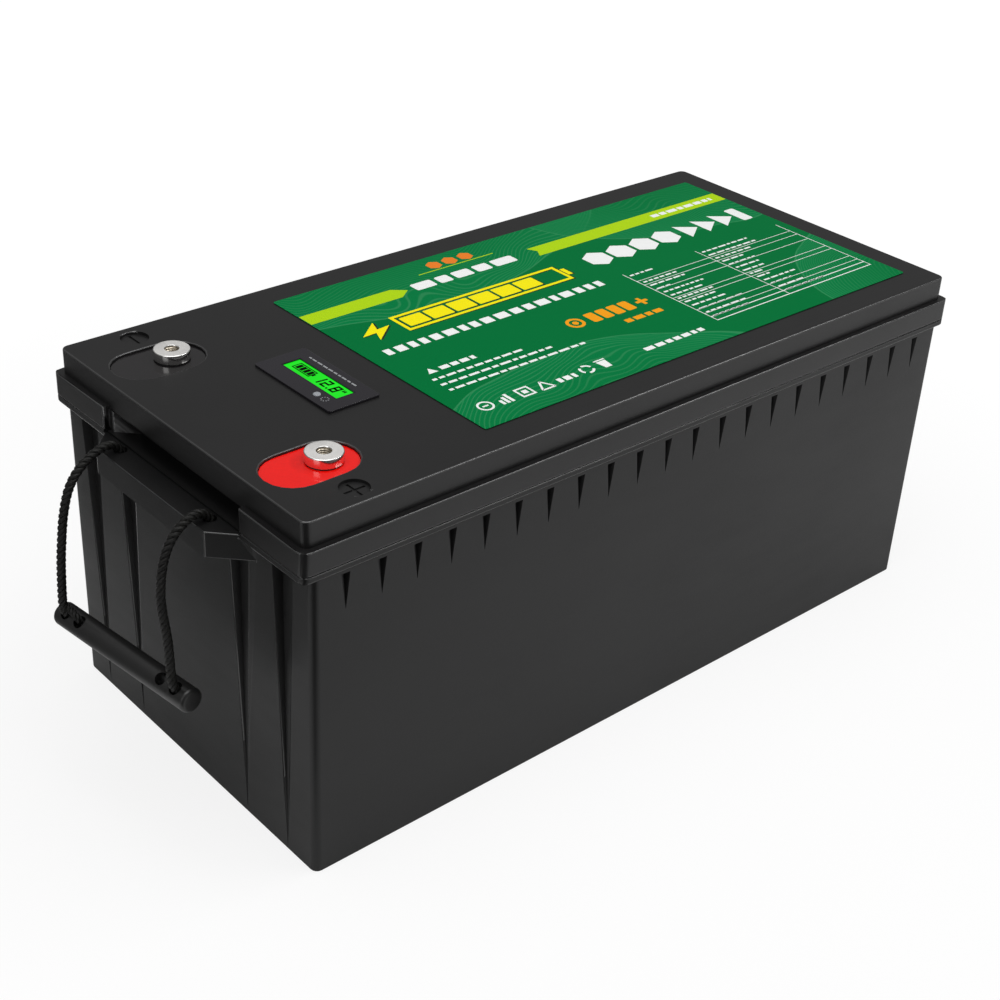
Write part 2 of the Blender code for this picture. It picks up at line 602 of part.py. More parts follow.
def make_grip(name, end):
    profile = [(0.0, -GRIP_L / 2)]
    for i in range(4):
        angle = pi / 2 * i / 3
        profile.append((GRIP_R - GRIP_EDGE_R + GRIP_EDGE_R * sin(angle),
                        -GRIP_L / 2 + GRIP_EDGE_R - GRIP_EDGE_R * cos(angle)))
    profile += [(GRIP_R, -32.0)]
    profile += [(radius, -z) for radius, z in reversed(profile)]
    grip = lathe('grip', profile, 0, 0, 16)
    # turn the bar's axis from Z to Y
    grip.data.transform(Matrix.Rotation(radians(-90), 4, 'X'))
    for side in (1, -1):
        for y in (GRIP_HOLE_Y, GRIP_HOLE_Y - GRIP_HOLE_PITCH):
            cut(grip, prism('hole', circle(0, side * y, GRIP_HOLE_R, 14, 0.13), -12, 12))
    finish(grip, name, M_GRIP)
    # the origin stays on the bar's own axis, at its middle
    grip.matrix_world = grip_frame(end)


def rope_path(end, side):
    """From the knot in the ledge, over its edge, down into the grip and out below it."""
    hole_y = side * GRIP_HOLE_Y
    mouth = on_grip(end, 0, hole_y, GRIP_R)
    start_y = side * ROPE_Y
    points = []
    for out, up in LEG_START + (LEG_NEGATIVE if side > 0 else LEG_POSITIVE):
        drop = min(1.0, max(0.0, -up / (LEDGE_Z1 - mouth.z)))
        points.append((end * (ROPE_X + out), start_y + (mouth.y - start_y) * drop,
                       LEDGE_Z1 + up))
    points += [tuple(on_grip(end, x, hole_y, z)) for x, z in LEG_FEED]
    return catmull(points, 2)


def make_knot(x, y, z, radius):
    return lathe('knot', [(a * radius, z + b * radius) for a, b in KNOT_PROFILE], x, y, 8)


def make_rope(name, end, side):
    rope = tube('leg', rope_path(end, side), ROPE_R, 6)
    x, y = end * ROPE_X, side * ROPE_Y
    # stopper knots: one in the ledge's bore, one under the grip
    join(rope,
         tube('root', [(x, y, KNOT_Z), (x, y, LEDGE_Z1 - 5.0)], ROPE_R - 0.1, 6),
         make_knot(x, y, KNOT_Z, KNOT_R))
    knot = make_knot(0, 0, 0, GRIP_KNOT_R)
    knot.data.transform(Matrix.Translation(on_grip(end, 0, side * GRIP_HOLE_Y, -12.4) * MM))
    join(rope, knot)
    if side > 0:
        # the loose tail lies along the grip and dips into the inner hole
        join(rope, tube('tail', [on_grip(end, *point) for point in TAIL], TAIL_R, 6))
    finish(rope, name, M_ROPE, angle=60)
    # the origin goes to the swing axis, level with the ledge's top
    origin = Vector((x, 0, LEDGE_Z1)) * MM
    rope.data.transform(Matrix.Translation(-origin))
    rope.location = origin


# ---------------------------------------------------------------- cells
PAD_HALF, BAR_HALF_W = 9.0, 9.5
VENT_R, VENT_D = 8.0, 0.8
CELL_NUT_R, CELL_NUT_H = 5.6, 4.4


def stud_xy(cell, side):
    return CELL_X0 + cell * CELL_PITCH + CELL_T / 2, side * STUD_Y


def make_cell(k):
    middle = stud_xy(k, 1)[0]
    cell = prism('cell', rounded_rect(CELL_T / 2, CELL_W / 2, 4.0, 3, middle),
                 CELL_Z0, CELL_TOP)
    for side in (1, -1):
        x, y = stud_xy(k, side)
        join(cell,
             box('pad', x - PAD_HALF, x + PAD_HALF, y - PAD_HALF, y + PAD_HALF,
                 CELL_TOP - 0.5, CELL_TOP + 1.6),
             prism('stud', circle(x, y, STUD_R, 12), CELL_TOP + 1.0, CELL_TOP + 9.4))
    cut(cell, prism('vent', circle(middle, 0.0, VENT_R, 20), CELL_TOP - VENT_D, CELL_TOP + 1))
    finish(cell, 'cell_%d' % (k + 1), M_CELL)


def make_busbar(k, side):
    xa, y = stud_xy(k, side)
    xb = stud_xy(k + 1, side)[0]
    bar = prism('bar', rounded_rect((xb - xa) / 2 + BAR_HALF_W, BAR_HALF_W, 3.0, 2,
                                    (xa + xb) / 2, y), BAR_Z, BAR_Z + BAR_T)
    for x in (xa, xb):
        cut(bar, prism('hole', circle(x, y, BAR_HOLE_R, 16), BAR_Z - 2, BAR_Z + 5))
    finish(bar, 'busbar_%d_%d' % (k + 1, k + 2), M_TIN)


def make_cell_nut(k, side, tag):
    x, y = stud_xy(k, side)
    z = BAR_Z + BAR_T + 0.3
    nut = prism('nut', circle(x, y, CELL_NUT_R, 6), z, z + CELL_NUT_H)
    cut(nut, prism('hole', circle(x, y, STUD_R + 0.3, 12), BAR_Z, BAR_Z + 12))
    finish(nut, 'cell_nut_%d_%s' % (k + 1, tag), M_STEEL)


# ---------------------------------------------------------------- packing round the cells
PACK_GAP = 0.3
PACK_X0 = CELL_X0 - PACK_GAP
PACK_X1 = CELL_X0 + (CELL_N - 1) * CELL_PITCH + CELL_T + PACK_GAP
PACK_Y = CELL_W / 2
SEPARATOR_T, FRONT_PLATE_T, REAR_PLATE_T = 0.8, 4.0, 2.6
STRAP_Z, STRAP_W, STRAP_T = (62.0, 142.0), 16.0, 0.8


def make_boards():
    for k in range(CELL_N - 1):
        x = CELL_X0 + k * CELL_PITCH + CELL_T + PACK_GAP
        box('cell_separator_%d' % (k + 1), x, x + SEPARATOR_T, -PACK_Y, PACK_Y,
            CELL_Z0 + 1, CELL_TOP - 1, M_FIBRE)
    box('end_plate_front', PACK_X0 - FRONT_PLATE_T, PACK_X0, -PACK_Y, PACK_Y,
        CELL_Z0, CELL_TOP - 4, M_FIBRE)
    box('end_plate_rear', PACK_X1, PACK_X1 + REAR_PLATE_T, -PACK_Y, PACK_Y,
        CELL_Z0, CELL_Z0 + 166.0, M_FIBRE)


def make_straps():
    x0, x1 = PACK_X0 - FRONT_PLATE_T - PACK_GAP, PACK_X1 + REAR_PLATE_T + PACK_GAP
    y = PACK_Y + PACK_GAP
    for i, z in enumerate(STRAP_Z):
        strap = box('strap', x0 - STRAP_T, x1 + STRAP_T, -y - STRAP_T, y + STRAP_T,
                    z, z + STRAP_W)
        cut(strap, box('inside', x0, x1, -y, y, z - 2, z + STRAP_W + 4))
        finish(strap, 'pack_strap_%d' % (i + 1), M_STRAP, False)


def make_pads():
    box('base_pad', PACK_X0 - 6.0, PACK_X1 + 4.0, -PACK_Y - 20, PACK_Y + 20,
        FLOOR_T + PACK_GAP, CELL_Z0 - PACK_GAP, M_FOAM)
    inner, outer = PACK_Y + 1.6, CAVITY_Y - 0.6
    for name, side in (('positive', -1), ('negative', 1)):
        prism('side_pad_%s_side' % name,
              rounded_rect((PACK_X1 - PACK_X0) / 2 - 3, (outer - inner) / 2, 3.0, 2,
                           (PACK_X0 + PACK_X1) / 2, side * (inner + outer) / 2),
              CELL_Z0, 176.0, M_FOAM)


# ---------------------------------------------------------------- BMS
# board on edge across the case, a finned sink behind it (+X), a back plate in front (-X)
BMS_X, BMS_Y, BMS_Z0, BMS_Z1 = -118.0, 78.0, 24.0, 128.0
BACK_X0, BACK_X1 = BMS_X - 14.0, BMS_X - 11.5
BMS_HOLE_Y, BMS_HOLE_Z = 70.0, BMS_Z1 - 8
SINK_Z1 = BMS_Z1 - 22
FET_N, FET_Y0, FET_PITCH, FET_HALF_W = 6, -62.0, 24.8, 7
FIN_N, FIN_HALF_T, FIN_MARGIN = 12, 1.2, 5.0


def x_rod(name, x0, x1, side, radius):
    """Rod along X through one of the board's mounting points."""
    y = side * BMS_HOLE_Y
    return tube(name, [(x0, y, BMS_HOLE_Z), (x1, y, BMS_HOLE_Z)], radius, 12)


def make_bms_board():
    board = box('bms_board', BMS_X - 0.8, BMS_X + 0.8, -BMS_Y, BMS_Y, BMS_Z0, BMS_Z1)
    for i in range(FET_N):
        y = FET_Y0 + FET_PITCH * i
        join(board, box('fet', BMS_X + 0.6, BMS_X + 5.4, y - FET_HALF_W, y + FET_HALF_W,
                        BMS_Z0 + 26, BMS_Z0 + 44))
    join(board, box('socket', BMS_X - 8.0, BMS_X - 0.6, -14, 14, BMS_Z1 - 16, BMS_Z1 - 8))
    for side in (1, -1):
        cut(board, x_rod('hole', BMS_X - 5, BMS_X + 5, side, 2.2))
    finish(board, 'bms_board', M_BOARD)


def make_heat_sink():
    sink = box('sink', BMS_X + 6.0, BMS_X + 10.0, -BMS_Y, BMS_Y, BMS_Z0, SINK_Z1)
    for i in range(FIN_N):
        y = -BMS_Y + FIN_MARGIN + i * (2 * BMS_Y - 2 * FIN_MARGIN) / (FIN_N - 1)
        join(sink, box('fin', BMS_X + 9.5, BMS_X + 20.0, y - FIN_HALF_T, y + FIN_HALF_T,
                       BMS_Z0, SINK_Z1))
    finish(sink, 'bms_heat_sink', M_ALU, False)


def make_back_plate():
    """Plate with two bosses for the board, and a foot that stands on the tub's floor."""
    plate = box('plate', BACK_X0, BACK_X1, -BMS_Y, BMS_Y, BMS_Z0, BMS_Z1)
    join(plate,
         box('foot', BACK_X0, BMS_X + 22.0, -BMS_Y, BMS_Y, FLOOR_T + 0.4, FLOOR_T + 3.0),
         box('riser', BACK_X0, BACK_X1, -BMS_Y, BMS_Y, FLOOR_T + 1.0, BMS_Z0 + 1.0))
    for side in (1, -1):
        join(plate, x_rod('boss', BMS_X - 12.5, BMS_X - 1.2, side, 4.0))
    finish(plate, 'bms_back_plate', M_ALU, False)


def make_sense_plug():
    plug = box('plug', BACK_X0 + 2.9, BMS_X - 8.4, -12, 12, BMS_Z1 - 15.5, BMS_Z1 - 8.5)
    finish(plug, 'bms_sense_plug', M_PLUG, False)


# ---------------------------------------------------------------- wiring
TERM_LUG_Z = SHANK_Z0 - 3.0
BMS_LUG_X, BMS_LUG_Y = BMS_X - 6.3, 50.0
POSITIVE_R, NEGATIVE_R = 4.6, 4.2    # heavy cables
SENSE_Z = 217.5                      # the sense loom's run over the cells


def lug(x, y, z, angle, hole_r, length=22.0, eye_r=8.5):
    """Flat eye at (x, y) with a tongue along angle; returns it and its cable point."""
    outline = []
    for i in range(9):
        turn = angle + pi / 2 + pi * i / 8
        outline.append((x + eye_r * cos(turn), y + eye_r * sin(turn)))
    along = Vector((cos(angle), sin(angle)))
    across = Vector((-sin(angle), cos(angle)))
    tip = Vector((x, y)) + along * length
    for sign in (-1, 1):
        outline.append((tip.x + sign * across.x * eye_r * 0.7,
                        tip.y + sign * across.y * eye_r * 0.7))
    obj = prism('lug', outline, z, z + BAR_T)
    cut(obj, prism('hole', circle(x, y, hole_r, 16), z - 2, z + 5))
    return obj, (tip.x, tip.y, z + BAR_T / 2)


def terminal_lug(side):
    return lug(TERM_X, side * TERM_Y, TERM_LUG_Z, 0.0, 2.8)


def bms_lug(side):
    return lug(BMS_LUG_X, side * BMS_LUG_Y, BMS_Z0 + 8.0, side * pi / 2, 2.6, 18.0, 3.2)


def cable(name, first, last, guide, radius, mat):
    """Cable between two lugs, by way of the guide points."""
    (first_obj, first_end), (last_obj, last_end) = first, last
    path = catmull([first_end] + guide + [last_end], 2)
    # the cable starts and ends 4 mm inside the lugs
    start = Vector(first_end) - (Vector(guide[0]) - Vector(first_end)).normalized() * 4
    end = Vector(last_end) - (Vector(guide[-1]) - Vector(last_end)).normalized() * 4
    obj = tube(name, [start] + path + [end], radius, 6)
    join(obj, first_obj, last_obj)
    finish(obj, name, mat)


def make_cables():
    x, y = stud_xy(0, -1)
    cable('positive_cable', lug(x, y, BAR_Z, pi, BAR_HOLE_R, 43.0), terminal_lug(-1),
          [(x - 56, y - 1, BAR_Z - 2), (-110, -66, 204), (-150, -72, 199)],
          POSITIVE_R, M_RED_CABLE)
    x, y = stud_xy(3, -1)
    cable('pack_negative_cable', lug(x, y, BAR_Z, -pi / 2, BAR_HOLE_R, 34.0), bms_lug(-1),
          [(x - 3, -103, BAR_Z - 3), (x - 34, -105, 204), (60, -105, 197), (-60, -105, 192),
           (-100, -106, 150), (BMS_LUG_X, -100, 70), (BMS_LUG_X, -86, 40)],
          NEGATIVE_R, M_BLACK_CABLE)
    cable('output_negative_cable', terminal_lug(1), bms_lug(1),
          [(-172, 76, 190), (-150, 90, 150), (BMS_LUG_X, 100, 80), (BMS_LUG_X, 86, 42)],
          NEGATIVE_R, M_BLACK_CABLE)


def make_sense_harness():
    """Thin loom from the BMS plug, with a branch out to each busbar."""
    loom = tube('loom', catmull([
        (BMS_X - 8.6, 0, BMS_Z1 - 7.6), (BMS_X - 6, 0, 160), (BMS_X + 10, 0, 205),
        (-70, 0, SENSE_Z), (0, 0, SENSE_Z), (168, 0, SENSE_Z)], 3), 1.5, 6)
    for k, side in BUSBARS:
        x = CELL_X0 + (k + 0.5) * CELL_PITCH + CELL_T / 2 + 8.0
        join(loom, box('branch', x - 1.0, x + 1.0, 0, side * 56.0, 216.9, 218.3))
    finish(loom, 'sense_harness', M_WIRE)


def make_meter_harness():
    tube('meter_harness', catmull([
        (-156, 18, 213.1), (-156, 18, 200), (-146, 10, 170),
        (BMS_X - 20, 6, 140), (BMS_X - 20, 6, 122)], 3), 1.6, 6, M_WIRE)


def make_probe():
    """Temperature probe on top of the second cell."""
    prism('temperature_probe',
          rounded_rect(2.2, 7.0, 1.5, 2, CELL_X0 + CELL_PITCH + 12, 20.0),
          CELL_TOP + 0.3, CELL_TOP + 2.6, M_PLUG)


# ---------------------------------------------------------------- build
for old_object in list(bpy.data.objects):
    bpy.data.objects.remove(old_object, do_unlink=True)

make_tub()
make_lid()
make_bead()
make_label()
make_terminal('negative', 1, M_BLACK)
make_terminal('positive', -1, M_RED)
make_bezel()
make_display()
make_key()
make_meter_board()

for end_name, end in (('front', -1), ('rear', 1)):
    make_grip('handle_grip_' + end_name, end)
    for side_name, side in (('positive_side', -1), ('negative_side', 1)):
        make_rope('handle_rope_%s_%s' % (end_name, side_name), end, side)

for k in range(CELL_N):
    make_cell(k)
    make_cell_nut(k, 1, 'b')
    make_cell_nut(k, -1, 'a')
for k, side in BUSBARS:
    make_busbar(k, side)
make_boards()
make_straps()
make_pads()

make_bms_board()
make_heat_sink()
make_back_plate()
make_sense_plug()
make_cables()
make_sense_harness()
make_meter_harness()
make_probe()
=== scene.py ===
"""A battery box with a lid, two threaded posts, a lit meter and a rope handle at each end.

X runs along the box with the front end at -X, Y runs across it with the positive post at -Y,
and Z is up from the floor. Sizes are in millimetres unless a comment says otherwise.
"""

import json
import random
from math import atan2, ceil, cos, pi, radians, sin

import bmesh
import bpy
from mathutils import Matrix, Vector
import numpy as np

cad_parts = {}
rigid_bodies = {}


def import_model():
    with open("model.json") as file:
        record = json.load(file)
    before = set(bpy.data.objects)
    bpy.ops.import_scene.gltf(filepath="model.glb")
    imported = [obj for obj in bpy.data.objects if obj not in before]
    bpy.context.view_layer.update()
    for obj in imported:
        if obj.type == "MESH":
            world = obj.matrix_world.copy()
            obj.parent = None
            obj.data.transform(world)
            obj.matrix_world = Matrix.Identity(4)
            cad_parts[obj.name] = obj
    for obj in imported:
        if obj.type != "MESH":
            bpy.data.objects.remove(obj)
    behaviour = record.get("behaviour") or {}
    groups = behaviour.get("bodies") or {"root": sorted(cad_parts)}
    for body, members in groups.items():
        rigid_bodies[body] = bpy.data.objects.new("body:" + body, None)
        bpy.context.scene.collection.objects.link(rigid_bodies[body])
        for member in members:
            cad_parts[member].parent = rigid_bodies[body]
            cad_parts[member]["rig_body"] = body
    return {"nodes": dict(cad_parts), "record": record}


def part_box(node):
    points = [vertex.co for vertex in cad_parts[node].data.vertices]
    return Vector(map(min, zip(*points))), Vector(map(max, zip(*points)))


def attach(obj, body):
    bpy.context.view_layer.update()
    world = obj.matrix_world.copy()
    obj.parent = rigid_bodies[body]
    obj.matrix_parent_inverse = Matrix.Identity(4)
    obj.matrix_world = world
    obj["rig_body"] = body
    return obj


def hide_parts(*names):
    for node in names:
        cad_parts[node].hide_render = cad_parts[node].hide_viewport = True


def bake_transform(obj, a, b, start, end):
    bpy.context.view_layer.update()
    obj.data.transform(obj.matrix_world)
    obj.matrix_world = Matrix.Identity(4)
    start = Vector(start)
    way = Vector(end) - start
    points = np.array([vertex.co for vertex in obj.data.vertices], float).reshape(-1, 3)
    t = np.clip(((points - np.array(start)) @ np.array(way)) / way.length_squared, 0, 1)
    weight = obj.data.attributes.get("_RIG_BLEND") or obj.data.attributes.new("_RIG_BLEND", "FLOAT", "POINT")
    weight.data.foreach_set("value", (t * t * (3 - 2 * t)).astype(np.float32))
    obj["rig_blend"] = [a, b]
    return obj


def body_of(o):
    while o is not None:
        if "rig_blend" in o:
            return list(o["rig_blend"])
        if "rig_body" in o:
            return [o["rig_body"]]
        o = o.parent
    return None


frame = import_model()

MM = 0.001  # metres in a millimetre
NODES = frame["nodes"]
SLOT = {part["node"]: part["material_slot"] for part in frame["record"]["subparts"]}
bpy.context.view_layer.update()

LID_TOP = 226.7
LABEL_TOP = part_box("top_label")[1].z / MM
DISPLAY_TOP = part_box("meter_display")[1].z / MM
BEZEL_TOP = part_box("meter_bezel")[1].z / MM
POST_X, POST_Y = -211.5, 73.0


# ------------------------------------------------------------------ material helpers
def scaled(rgb, factor):
    return tuple(c * factor for c in rgb)


class Shader:
    """A Principled material built from procedural parts in object coordinates (metres)."""

    def __init__(self, name):
        self.material = bpy.data.materials.new(name)
        self.material.use_nodes = True
        self.tree = self.material.node_tree
        self.tree.nodes.clear()
        self.output = self.node("OutputMaterial")
        self.surface = self.node("BsdfPrincipled")
        self.link(self.surface.outputs[0], self.output.inputs[0])
        self.coords = self.node("TexCoord").outputs["Object"]
        self.normal = None

    def link(self, source, target):
        self.tree.links.new(source, target)

    def node(self, kind, **props):
        node = self.tree.nodes.new("ShaderNode" + kind)
        for key, value in props.items():
            setattr(node, key, value)
        return node

    def feed(self, socket, value):
        """Link an output to the socket, or set the socket's own value."""
        if hasattr(value, "is_linked"):
            self.link(value, socket)
        else:
            socket.default_value = value

    def put(self, node, **inputs):
        """Feed inputs by name, with underscores for spaces."""
        for key, value in inputs.items():
            self.feed(node.inputs[key if key in node.inputs else key.replace("_", " ")], value)

    def set(self, **inputs):
        self.put(self.surface, **inputs)

    def noise(self, scale, detail=2.0, rough=0.5, vector=None):
        node = self.node("TexNoise")
        self.put(node, Vector=vector or self.coords, Scale=scale, Detail=detail, Roughness=rough)
        return node.outputs["Fac"]

    def voronoi(self, scale):
        node = self.node("TexVoronoi")
        self.put(node, Vector=self.coords, Scale=scale)
        return node.outputs["Distance"]

    def bands(self, direction, scale, distortion=0.0, vector=None):
        node = self.node("TexWave", wave_type="BANDS", bands_direction=direction)
        self.put(node, Vector=vector or self.coords, Scale=scale, Distortion=distortion)
        return node.outputs["Fac"]

    def mapping(self, scale, turn=(0, 0, 0), vector=None):
        node = self.node("Mapping")
        self.put(node, Vector=vector or self.coords, Scale=scale, Rotation=turn)
        return node.outputs[0]

    def xyz(self, vector):
        node = self.node("SeparateXYZ")
        self.link(vector, node.inputs[0])
        return node.outputs

    def math(self, operation, a, b=0.0):
        node = self.node("Math", operation=operation)
        for socket, value in zip(node.inputs, (a, b, 0.0)):
            self.feed(socket, value)
        return node.outputs[0]

    def add(self, a, b):
        return self.math("ADD", a, b)

    def subtract(self, a, b):
        return self.math("SUBTRACT", a, b)

    def multiply(self, a, b):
        return self.math("MULTIPLY", a, b)

    def hypot(self, a, b):
        return self.math("SQRT", self.add(self.multiply(a, a), self.multiply(b, b)))

    def ramp(self, value, span=(0.3, 0.7), to=(0.0, 1.0), smooth=False):
        """Map span onto to, clamped."""
        node = self.node("MapRange", interpolation_type="SMOOTHSTEP" if smooth else "LINEAR")
        self.put(node, Value=value, From_Min=span[0], From_Max=span[1],
                 To_Min=to[0], To_Max=to[1])
        return node.outputs[0]

    def mix(self, factor, low, high):
        node = self.node("Mix", data_type="RGBA")
        self.feed(node.inputs[0], factor)
        for socket, colour in ((node.inputs[6], low), (node.inputs[7], high)):
            self.feed(socket, (*colour, 1.0) if isinstance(colour, tuple) else colour)
        return node.outputs[2]

    def bump(self, height, strength, distance):
        """Add a bump on top of those before it; distance is in metres."""
        node = self.node("Bump")
        self.put(node, Strength=strength, Distance=distance, Height=height)
        if self.normal is not None:
            self.link(self.normal, node.inputs["Normal"])
        self.normal = node.outputs[0]
        self.link(self.normal, self.surface.inputs["Normal"])


def moulded(name, rgb, rough, grain=1500.0, grain_depth=0.000072, strength=0.35, spread=0.18,
            spec=0.5, flow=0.05):
    """Injection-moulded plastic: fine grain, faint flow marks and a patchy sheen."""
    s = Shader(name)
    fine = s.noise(scale=grain, detail=3.0, rough=0.6)
    pits = s.voronoi(scale=grain * 0.55)
    broad = s.noise(scale=9.0, detail=3.0)
    streaks = s.noise(scale=22.0, rough=0.6, vector=s.mapping(scale=(1.0, 1.0, 5.0)))
    tone = s.add(s.multiply(broad, 0.6), s.multiply(streaks, 0.4))
    colour = s.mix(s.ramp(tone), scaled(rgb, 1 - spread), scaled(rgb, 1 + spread))
    colour = s.mix(s.multiply(fine, 0.35), colour, scaled(rgb, 1.5))
    roughness = s.add(s.ramp(tone, to=(rough - flow, rough + flow)),
                      s.ramp(fine, span=(0.35, 0.65), to=(-0.03, 0.03)))
    s.set(Base_Color=colour, Roughness=roughness, Specular_IOR_Level=spec,
          Coat_Weight=0.0, Coat_Roughness=0.12)
    s.bump(broad, strength=0.15, distance=0.0004)
    s.bump(s.add(s.multiply(fine, 0.6), s.multiply(pits, 0.6)), strength, grain_depth)
    return s.material


def metal(name, rgb, rough, turned=None, top=None):
    """Metal; turned is the (x, y) of upright turning rings, top is added roughness facing up."""
    s = Shader(name)
    fine = s.noise(scale=900.0, detail=3.0, rough=0.6)
    broad = s.noise(scale=60.0, detail=3.0, rough=0.55)
    colour = s.mix(s.ramp(broad, span=(0.35, 0.65)), scaled(rgb, 0.94), rgb)
    roughness = s.add(s.ramp(broad, to=(rough - 0.04, rough + 0.05)),
                      s.ramp(fine, span=(0.35, 0.65), to=(-0.02, 0.03)))
    s.bump(broad, strength=0.08, distance=0.0002)
    s.bump(fine, strength=0.036, distance=0.00005)
    if turned:
        x, y, _ = s.xyz(s.coords)
        radius = s.hypot(s.subtract(x, turned[0] * MM), s.subtract(y, turned[1] * MM))
        along_radius = s.node("CombineXYZ")
        s.link(radius, along_radius.inputs[0])
        rings = s.noise(scale=5200.0, rough=0.7, vector=along_radius.outputs[0])
        s.bump(rings, strength=0.35, distance=0.00003)
        roughness = s.add(roughness, s.ramp(rings, span=(0.35, 0.65), to=(-0.03, 0.05)))
    if top:
        upward = s.xyz(s.node("NewGeometry").outputs["Normal"])[2]
        roughness = s.add(roughness, s.ramp(upward, span=(0.9, 0.99), to=(0.0, top)))
    s.set(Base_Color=colour, Metallic=1.0, Roughness=roughness)
    return s.material


def sheet(name, rgb, rough, weave=0.0):
    """Boards, foams, films and rubbers; weave is the scale of a crossed-thread relief."""
    s = Shader(name)
    fine = s.noise(scale=1300.0, detail=3.0, rough=0.6)
    broad = s.noise(scale=25.0, detail=3.0)
    colour = s.mix(s.ramp(broad), scaled(rgb, 0.85), scaled(rgb, 1.15))
    if weave:
        relief = s.multiply(s.bands("Y", weave, distortion=0.4),
                            s.bands("Z", weave, distortion=0.4))
        colour = s.mix(s.multiply(relief, 0.2), colour, scaled(rgb, 1.35))
    else:
        relief = s.voronoi(scale=700.0)
    s.set(Base_Color=colour, Roughness=s.ramp(fine, to=(rough - 0.06, rough + 0.06)))
    s.bump(relief, strength=0.25, distance=0.0001)
    s.bump(fine, strength=0.2, distance=0.00005)
    return s.material


def rope_fibre():
    """Black laid rope: fibres run along each strand, with paler patches."""
    s = Shader("laid_rope_fibre")
    uv = s.node("UVMap", uv_map="strand").outputs[0]
    fibres = s.noise(scale=1.0, detail=3.0, rough=0.65,
                     vector=s.mapping(scale=(60.0, 26.0, 1.0), turn=(0, 0, 0.35), vector=uv))
    yarns = s.bands("DIAGONAL", scale=3.4, distortion=1.2,
                    vector=s.mapping(scale=(0.55, 1.6, 1.0), vector=uv))
    fuzz = s.noise(scale=2600.0, rough=0.7)
    broad = s.noise(scale=70.0)
    relief = s.add(s.multiply(fibres, 0.65), s.multiply(yarns, 0.35))
    dark, light, worn = (0.0012, 0.0012, 0.0011), (0.0100, 0.0096, 0.0084), (0.014, 0.0135, 0.0105)
    colour = s.mix(s.ramp(relief, span=(0.32, 0.72)), dark, light)
    colour = s.mix(s.ramp(broad, span=(0.5, 0.75), to=(0.0, 0.4)), colour, worn)
    s.set(Base_Color=colour, Roughness=s.ramp(fibres, to=(0.32, 0.60)), Specular_IOR_Level=0.34)
    s.bump(relief, strength=0.85, distance=0.00035)
    s.bump(fuzz, strength=0.4, distance=0.0001)
    return s.material


# centre x, centre y, radius, x stretch, y stretch, pitch of the contour lines
LABEL_ARCS = (
    (-30.0, 190.0, 150.0, 0.72, 1.0, 3.1),
    (205.0, 150.0, 128.0, 1.0, 1.0, 2.7),
    (-45.0, -150.0, 96.0, 0.62, 1.0, 3.3),
    (262.0, -118.0, 92.0, 1.0, 0.85, 2.9),
)


def label_green():
    """Printed film: two greens in large wavering arcs filled with fine contour lines."""
    s = Shader("label_film_green")
    x, y, _ = s.xyz(s.mapping(scale=(1000, 1000, 1000)))  # metres to millimetres
    wobble = s.noise(scale=11.0, detail=1.0, rough=0.4)
    wobble = s.multiply(s.subtract(wobble, 0.5), 36.0)
    dark, green, pale = (0.0004, 0.162, 0.040), (0.0015, 0.196, 0.055), (0.10, 0.37, 0.18)
    colour = dark
    for centre_x, centre_y, radius, stretch_x, stretch_y, pitch in LABEL_ARCS:
        dx = s.multiply(s.subtract(x, centre_x), stretch_x)
        dy = s.multiply(s.subtract(y, centre_y), stretch_y)
        reach = s.add(s.hypot(dx, dy), wobble)
        inside = s.ramp(reach, span=(radius - 0.5, radius + 0.5), to=(1.0, 0.0))
        fade = s.multiply(inside, s.ramp(reach, span=(radius - 80.0, radius), to=(0.25, 1.0)))
        colour = s.mix(fade, colour, green)
        edge = s.ramp(reach, span=(radius - 1.3, radius - 0.3), to=(0.0, 0.42))
        edge = s.multiply(inside, edge)
        wave = s.multiply(s.add(reach, s.multiply(wobble, 2.4)), 2 * pi / pitch)
        wave = s.math("SINE", wave)
        lines = s.multiply(s.ramp(wave, span=(0.45, 0.95), to=(0.0, 0.26)), fade)
        colour = s.mix(s.math("MAXIMUM", edge, lines), colour, pale)
    film = s.noise(scale=420.0)
    broad = s.noise(scale=14.0)
    s.set(Base_Color=colour, Roughness=s.ramp(broad, to=(0.36, 0.44)), Specular_IOR_Level=0.02)
    s.bump(broad, strength=0.1, distance=0.0003)
    s.bump(film, strength=0.08, distance=0.00003)
    return s.material


def ink(name, rgb, rough=0.40, spec=0.12):
    """Screen ink with a faint dot structure."""
    s = Shader(name)
    dots = s.voronoi(scale=2300.0)
    broad = s.noise(scale=30.0)
    colour = s.mix(s.ramp(dots, span=(0.2, 0.5), to=(0.0, 0.06)), rgb, scaled(rgb, 0.8))
    colour = s.mix(s.ramp(broad, to=(0.0, 0.06)), colour, scaled(rgb, 0.85))
    s.set(Base_Color=colour, Roughness=s.ramp(broad, to=(rough - 0.03, rough + 0.04)),
          Specular_IOR_Level=spec)
    s.bump(dots, strength=0.08, distance=0.00002)
    return s.material


def lit_display():
    """Back-lit liquid crystal: a slightly uneven green glow with a fine grid."""
    s = Shader("display_backlight_green")
    broad = s.noise(scale=45.0)
    grid = s.multiply(s.bands("X", scale=700.0), s.bands("Y", scale=700.0))
    glow = s.mix(s.ramp(broad), (0.002, 0.74, 0.006), (0.006, 0.90, 0.014))
    glow = s.mix(s.multiply(grid, 0.10), glow, (0.0, 0.45, 0.004))
    s.set(Base_Color=(0.0, 0.05, 0.0, 1), Emission_Color=glow, Emission_Strength=0.92,
          Roughness=0.22, Specular_IOR_Level=0.3)
    return s.material


